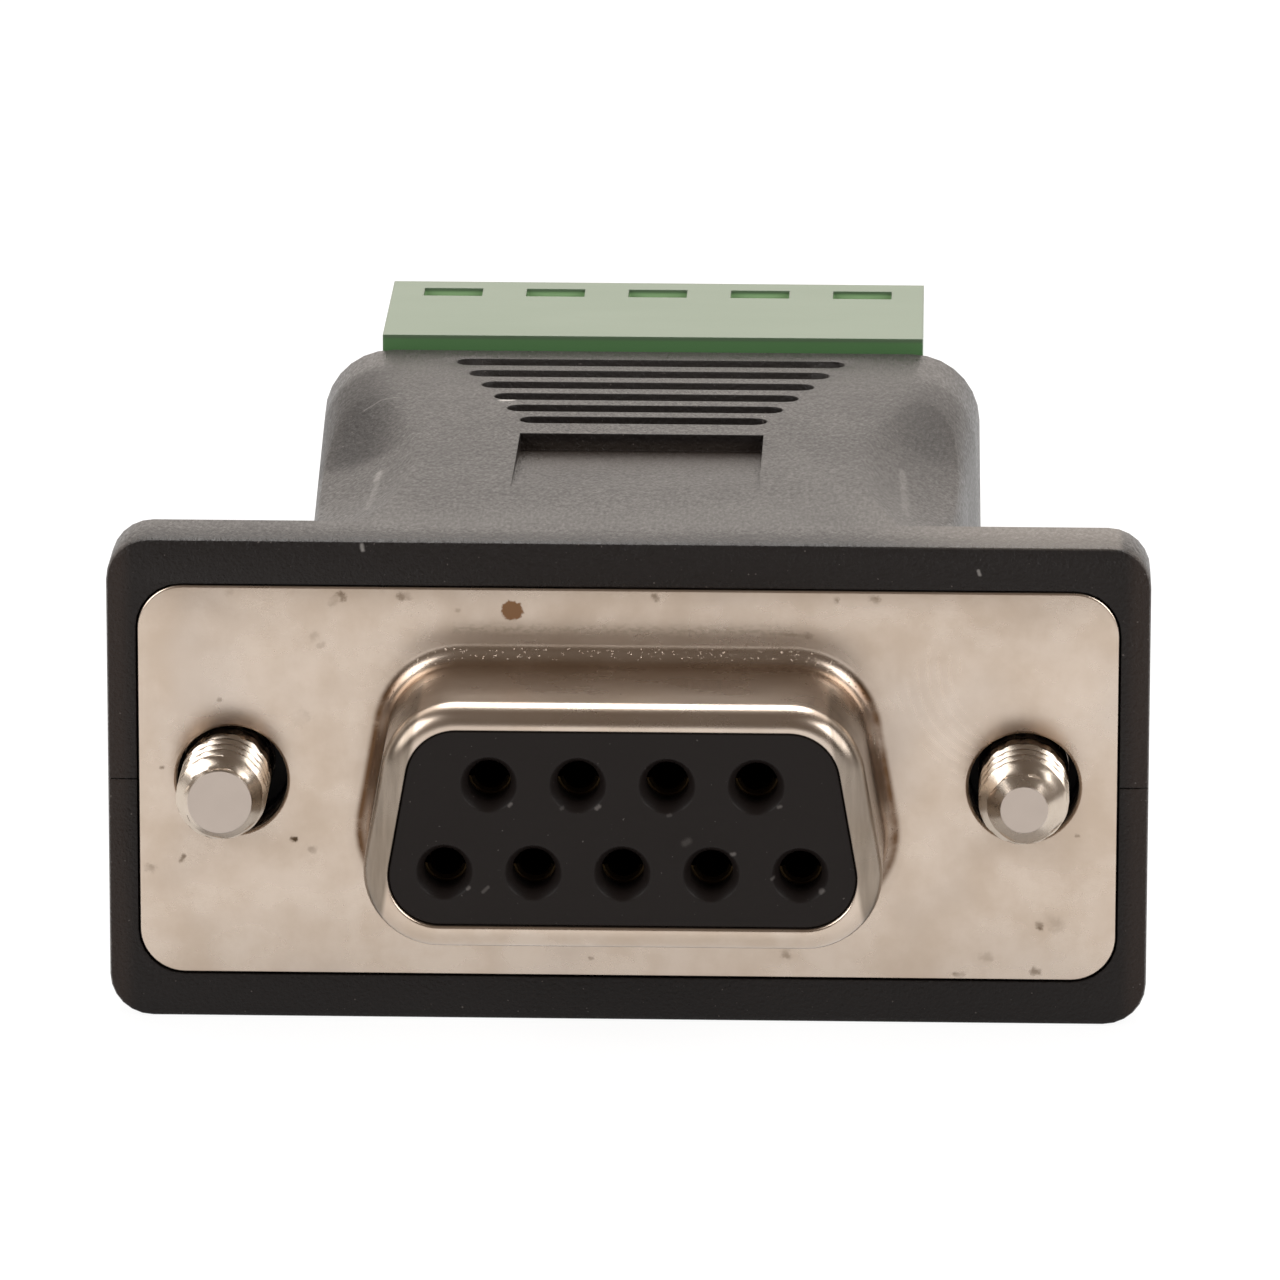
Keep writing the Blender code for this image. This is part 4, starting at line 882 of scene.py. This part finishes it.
plastic, shader, place = material_with("moulded_black", base=(0.011, 0.0098, 0.0092), roughness=0.5)
shader.inputs["Specular IOR Level"].default_value = SHELL_SHEEN
axes = [place.axis(number) for number in range(3)]
grain = noise(place, EROSION_GRAIN, detail=3.0, roughness=0.6, stretch=(1.0, 0.35, 1.0))
mottle = noise(place, MOTTLE_SIZE, detail=2.0, stretch=(1.0, 0.28, 1.0)) - 0.5
patches = noise(place, SHELL_PATCHES, detail=4.0)
ragged = (noise(place, MARK_FRAY) - 0.5) * 1.4
scratches_and_highlights = blots(place, False, TOP_SCRATCHES_AND_HIGHLIGHTS, ragged) * axes[2].between(*UPPER_SIDE)
front_only = 1 - axes[1].between(*FLANGE_FACE)
scratches_and_highlights = scratches_and_highlights.most(blots(place, True, FLANGE_MARKS, ragged) * front_only)
dust = noise(place, SPECK_SIZE, detail=0.0).between(*SPECK_RANGE) * SPECK_STRENGTH
# A lighter tone in the grooves and the wedge recess, below the top.
in_recesses = axes[2].between(*GROOVE_FLOOR) * (1 - axes[2].between(*GROOVE_TOP))
for axis, (low, high) in zip(axes, GROOVE_BOX):
    in_recesses = in_recesses * axis.between(low - GROOVE_MARGIN, low)
    in_recesses = in_recesses * (1 - axis.between(high, high + GROOVE_MARGIN))
tone = layered(
    mixed(in_recesses, PLASTIC_TONE, RECESS_TONE),
    # Painted sheen: the rear of the top is made lighter, standing for its stronger reflection.
    (axes[1].between(*REAR_SHEEN_LENGTH) * axes[2].between(*REAR_SHEEN_LEVEL) * 0.5, REAR_TOP_SHEEN_TONE),
    # Painted sheen: the front faces at the flange's ends are made lighter.
    (abs(axes[0]).between(*FLANGE_ENDS) * front_only, FLANGE_ENDS_SHEEN_TONE),
    # Painted light: the right part of the top is made lighter.
    (axes[0].between(*LIT_SIDE) * axes[2].between(*LIT_LEVEL), RIGHT_TOP_LIGHT_TONE),
    (dust, SPECK_TONE),
    (scratches_and_highlights, SCRATCH_AND_HIGHLIGHT_TONE),
)
drive(shader, Base_Color=tone)
fingered = blots(place, False, DISH_SHADES, patches - 0.5)
drive(shader, Roughness=0.32 + patches * 0.1 + mottle * 0.35 + fingered * 0.2)
hollows = abs(axes[0]).between(*DISH_INNER) * axes[2].between(*DISH_LOWER)
hollows = hollows * axes[1].between(*DISH_START) * (1 - axes[1].between(*DISH_END))
crisp = rounded_edges(hollows, SHELL_EDGE)
soft = rounded_edges(hollows, DISH_SOFTNESS, DISH_SAMPLES)
facing = hollows.node("ShaderNodeMix", {"Factor": hollows, 4: crisp, 5: soft}, output=1, data_type="VECTOR")
drive(shader, Normal=relief(grain + mottle * 0.3, EROSION_DEPTH, facing=facing))
for node, name in (("top_shell", "top_half_shell"), ("bottom_shell", "bottom_half_shell")):
    finished(name, merged(node), plastic, "adapter", "housing_plastic", node, welded=False)

# Two captive jackscrews of nickel-plated steel: a 4-40 thread in front and a fluted knob in the side pocket.
# The thread is rolled, the tip is chamfered, and the knob has a slot for a screwdriver. Sizes in millimetres.
THREAD_PITCH = 0.635
THREAD_RADIUS = 1.42
THREAD_DEPTH = 0.36
THREAD_FLAT = 0.14
THREAD_END = 3.4
THREAD_STEPS = 14
SCREW_FRONT = -2.6
KNOB_FRONT = 8.6
KNOB_BACK = 16.5
KNOB_RADIUS = 2.9
# Each row of the knob's profile: (depth from its end, inset from its crests, share of the flutes' depth).
KNOB_PROFILE = ((0, 0.5, 0.2), (0, 0.4, 0.2), (0.12, 0.12, 0.8), (0.4, 0, 1))
FLUTES = 14
FLUTE_STEPS = 10
FLUTE_DEPTH = 0.3
FLUTE_SHARPNESS = 1.5
SLOT_WIDTH = 0.8
SLOT_DEPTH = 0.9
TIP_STEPS = 8
# Each tip: (radius of its flat end, length of its chamfer).
TIPS = {"left": (1.0, 0.47), "right": (0.74, 0.76)}
THREAD_TURN = {"left": 0.62, "right": 0.15}
END_FACE = ((SCREW_FRONT + 0.01) * MM, (SCREW_FRONT + 0.03) * MM)
WEAR_SIZE = 0.6 * MM
TURNING_LINES = 0.05 * MM
SCREW_RELIEF = 0.002 * MM
SCREW_LIGHT = (0.66, 0.58, 0.50, 1)
SCREW_WORN = (0.50, 0.42, 0.34, 1)
END_TONE = (0.49, 0.42, 0.37, 1)

bright, shader, place = material_with("screw_nickel", base=(0.62, 0.53, 0.46), roughness=0.16, metallic=1.0)
worn = noise(place, WEAR_SIZE, detail=5.0)
lines = noise(place, TURNING_LINES, detail=2.0, stretch=(0.2, 1.0, 0.2))
end_face = 1 - place.axis(1).between(*END_FACE)
drive(shader, Base_Color=mixed(end_face, mixed(worn, SCREW_LIGHT, SCREW_WORN), END_TONE))
drive(shader, Roughness=0.18 + worn * 0.16 + end_face * 0.06)
drive(shader, Normal=relief(worn + lines * 0.4, SCREW_RELIEF))


def thread_dip(phase):
    """Share of the thread's depth at a phase of its turn: flat crests and roots, with slopes between."""
    crest = abs(phase - 0.5) * 2
    return 1 - min(1, max(0, (crest - THREAD_FLAT) / (1 - 2 * THREAD_FLAT)))


def threaded_shaft(tip, turn):
    """Rows of (y, radius at a share of a turn) along the tip, the thread and the plain shaft."""
    flat_radius, chamfer = tip
    rows = [SCREW_FRONT + chamfer * step / TIP_STEPS for step in range(TIP_STEPS)]
    count = math.ceil((THREAD_END - rows[-1]) / THREAD_PITCH * THREAD_STEPS)
    rows += [rows[-1] + (THREAD_END - rows[-1]) * (step + 1) / count for step in range(count)]

    def radius_at(y):
        def radius(share):
            cone = flat_radius + (THREAD_RADIUS - flat_radius) * min(1, (y - SCREW_FRONT) / chamfer)
            fade = min(1, max(0, (THREAD_END - y) / THREAD_PITCH))
            dip = thread_dip((y / THREAD_PITCH - share + turn) % 1) * THREAD_DEPTH * fade
            return min(THREAD_RADIUS - dip, cone)

        return radius

    return [(y, radius_at(y)) for y in rows]


def fluted(inset, share):
    """Radius of the knob at a share of a turn, set in from its crests, with a share of the flutes' depth."""

    def radius(turn):
        dip = max(0.0, math.cos(math.tau * turn * FLUTES)) ** FLUTE_SHARPNESS * FLUTE_DEPTH
        return KNOB_RADIUS - inset - dip * share

    return radius


def knob_rows():
    """Rows of (y, radius at a share of a turn) round the fluted knob, its two ends alike."""
    front = [(KNOB_FRONT + depth, fluted(inset, share)) for depth, inset, share in KNOB_PROFILE]
    back = [(KNOB_BACK - depth, fluted(inset, share)) for depth, inset, share in KNOB_PROFILE]
    return front + back[::-1]


def turned(rows, steps):
    """A closed solid from rows in millimetres, whose radius may swell and dip around the axis."""
    bm = bmesh.new()
    rings = []
    for y, radius in rows:
        points = []
        for step in range(steps):
            reach = radius(step / steps)
            angle = math.tau * step / steps
            points.append(bm.verts.new(Vector((reach * math.cos(angle), y, reach * math.sin(angle))) * MM))
        rings.append(points)
    skin(bm, rings)
    for points in (rings[0], rings[-1]):
        bm.faces.new(points)
    bmesh.ops.recalc_face_normals(bm, faces=bm.faces)
    mesh = bpy.data.meshes.new("screw")
    bm.to_mesh(mesh)
    bm.free()
    return mesh


values = {"Slot Width": SLOT_WIDTH * MM, "Slot Depth": SLOT_DEPTH * MM, "Metal": bright}
tree, wires = group_of("slotted", values)
slot_width = wires["Slot Width"]
slot_across = 4 * KNOB_RADIUS * MM
slot_reach = wires["Slot Depth"] * 2
slot = slot_width.node("ShaderNodeCombineXYZ", {"X": slot_across, "Y": slot_reach, "Z": slot_width})
close_group(tree, cut(wires["Geometry"], slot, (0, KNOB_BACK * MM, 0)), wires["Metal"])
for joint, (side, tip) in zip(("left_screw", "right_screw"), TIPS.items()):
    low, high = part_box(side + "_jackscrew")
    shaft = threaded_shaft(tip, THREAD_TURN[side]) + [(KNOB_FRONT, lambda share: THREAD_RADIUS)]
    bm = grown(side, turned(shaft + knob_rows(), FLUTES * FLUTE_STEPS), tree, values)
    place = ((low.x + high.x) / 2, PLATE_FRONT, AXIS_Z)
    finished(side + "_thumbscrew", bm, bright, joint, "nickel_screw", side + "_jackscrew", place=place)

# Two thin washers of black nylon, one pushed over each shaft into its bore in the flange.
# They keep the jackscrews captive, and close the bores in front of the pockets.
WASHER_BORE = 1.44 * MM
WASHER_RADIUS = 1.74 * MM
WASHER_FRONT = 2.3 * MM
WASHER_BACK = 2.65 * MM

bm = bmesh.new()
for side, label in ((-1, "left"), (1, "right")):
    low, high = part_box(label + "_jackscrew")
    shaft = circle((low.x + high.x) / 2, 0, WASHER_BORE)
    seat = circle(side * half_spacing, 0, WASHER_RADIUS)
    sections = ((shaft, WASHER_FRONT), (seat, WASHER_FRONT), (seat, WASHER_BACK), (shaft, WASHER_BACK))
    rings = [ring(bm, outline, y) for outline, y in sections]
    skin(bm, rings + rings[:1])
finished("screw_washers", bm, black, "adapter", "insulator_plastic", place=origin)

# The stage: a wide floor of pale matt card, lit from above by one softbox and from in front by two.
# The room is bright behind the adapter and dim in front of it, and the metal shows both.
FLOOR_HALF = 1.5
FLOOR_GREY = (0.45, 0.45, 0.45, 1)
# How reflections and the camera see the floor: (matt share, glow).
GLOSSY_LOOK = (0.3, 0.67)
CAMERA_LOOK = (0.14, 0.92)
WHITE = (1, 1, 1, 1)
ROOM_FRONT = (0.145, 0.113, 0.088, 1)
ROOM_BACK = (1.48, 1.37, 1.27, 1)
BACKDROP_RISE = (0.02, 0.45)
# Each softbox: (name, place in metres, side in metres, power in watts).
SOFTBOXES = (
    ("overhead_softbox", (0.0, 0.21, 0.4), 0.26, 1.25),
    ("left_softbox", (-0.28, -0.2, 0.2), 0.24, 0.75),
    ("right_softbox", (0.28, -0.2, 0.2), 0.24, 0.75),
)

floor_mesh = bpy.data.meshes.new("floor")
bm = bmesh.new()
bmesh.ops.create_grid(bm, x_segments=1, y_segments=1, size=FLOOR_HALF)
bm.to_mesh(floor_mesh)
bm.free()
floor = bpy.data.objects.new("floor", floor_mesh)
bpy.context.scene.collection.objects.link(floor)
pale = bpy.data.materials.new("pale_floor")
pale.use_nodes = True
tree = pale.node_tree
tree.nodes.clear()
wire = Wire(tree)
rays = wire.node("ShaderNodeLightPath").socket.node
camera_ray = Wire(tree, rays.outputs["Is Camera Ray"]).most(Wire(tree, rays.outputs["Is Transmission Ray"]))
glossy_ray = Wire(tree, rays.outputs["Is Glossy Ray"])
floor_look = wire.node("ShaderNodeBsdfDiffuse", {"Color": FLOOR_GREY})
for rays_seen, (matt_share, glow_share) in ((glossy_ray, GLOSSY_LOOK), (camera_ray, CAMERA_LOOK)):
    matt = wire.node("ShaderNodeBsdfDiffuse", {"Color": (matt_share, matt_share, matt_share, 1)})
    glow = wire.node("ShaderNodeEmission", {"Color": WHITE, "Strength": glow_share})
    lit = wire.node("ShaderNodeAddShader", {0: matt, 1: glow})
    floor_look = wire.node("ShaderNodeMixShader", {0: rays_seen, 1: floor_look, 2: lit})
tree.links.new(floor_look.socket, tree.nodes.new("ShaderNodeOutputMaterial").inputs["Surface"])
floor_mesh.materials.append(pale)

world = bpy.data.worlds.new("studio")
bpy.context.scene.world = world
world.use_nodes = True
tree = world.node_tree
tree.nodes.clear()
wire = Wire(tree)
rays = wire.node("ShaderNodeLightPath").socket.node
camera_ray = Wire(tree, rays.outputs["Is Camera Ray"])
direction = wire.node("ShaderNodeTexCoord", output="Generated")
room = mixed(direction.axis(1).between(*BACKDROP_RISE), ROOM_FRONT, ROOM_BACK)
shown = mixed(camera_ray, room, WHITE)
studio = shown.node("ShaderNodeBackground", {"Color": shown, "Strength": 1.0})
tree.links.new(studio.socket, tree.nodes.new("ShaderNodeOutputWorld").inputs["Surface"])

for name, spot, size, power in SOFTBOXES:
    lamp = bpy.data.lights.new(name, "AREA")
    lamp.shape = "SQUARE"
    lamp.size = size
    lamp.energy = power
    holder = bpy.data.objects.new(name, lamp)
    bpy.context.scene.collection.objects.link(holder)
    holder.location = spot
    holder.rotation_euler = (Vector((0, 0, AXIS_Z)) - Vector(spot)).to_track_quat("-Z", "Y").to_euler()

# The camera: a long lens about 35 cm in front of the socket and a little to the right of it,
# looking down by 15 degrees.
CAMERA_PLACE = Vector((10.353, -352.75, 104.223)) * MM
CAMERA_TURN = [math.radians(angle) for angle in (74.8293, -0.0901, 1.7132)]
CAMERA_LENS = 313.52
CAMERA_SENSOR = 36
CAMERA_NEAR = 0.01

lens = bpy.data.cameras.new("camera")
lens.sensor_width = CAMERA_SENSOR
lens.lens = CAMERA_LENS
lens.clip_start = CAMERA_NEAR
camera = bpy.data.objects.new("camera", lens)
bpy.context.scene.collection.objects.link(camera)
camera.location = CAMERA_PLACE
camera.rotation_euler = CAMERA_TURN
bpy.context.scene.camera = camera
bpy.context.scene.view_settings.view_transform = "Standard"
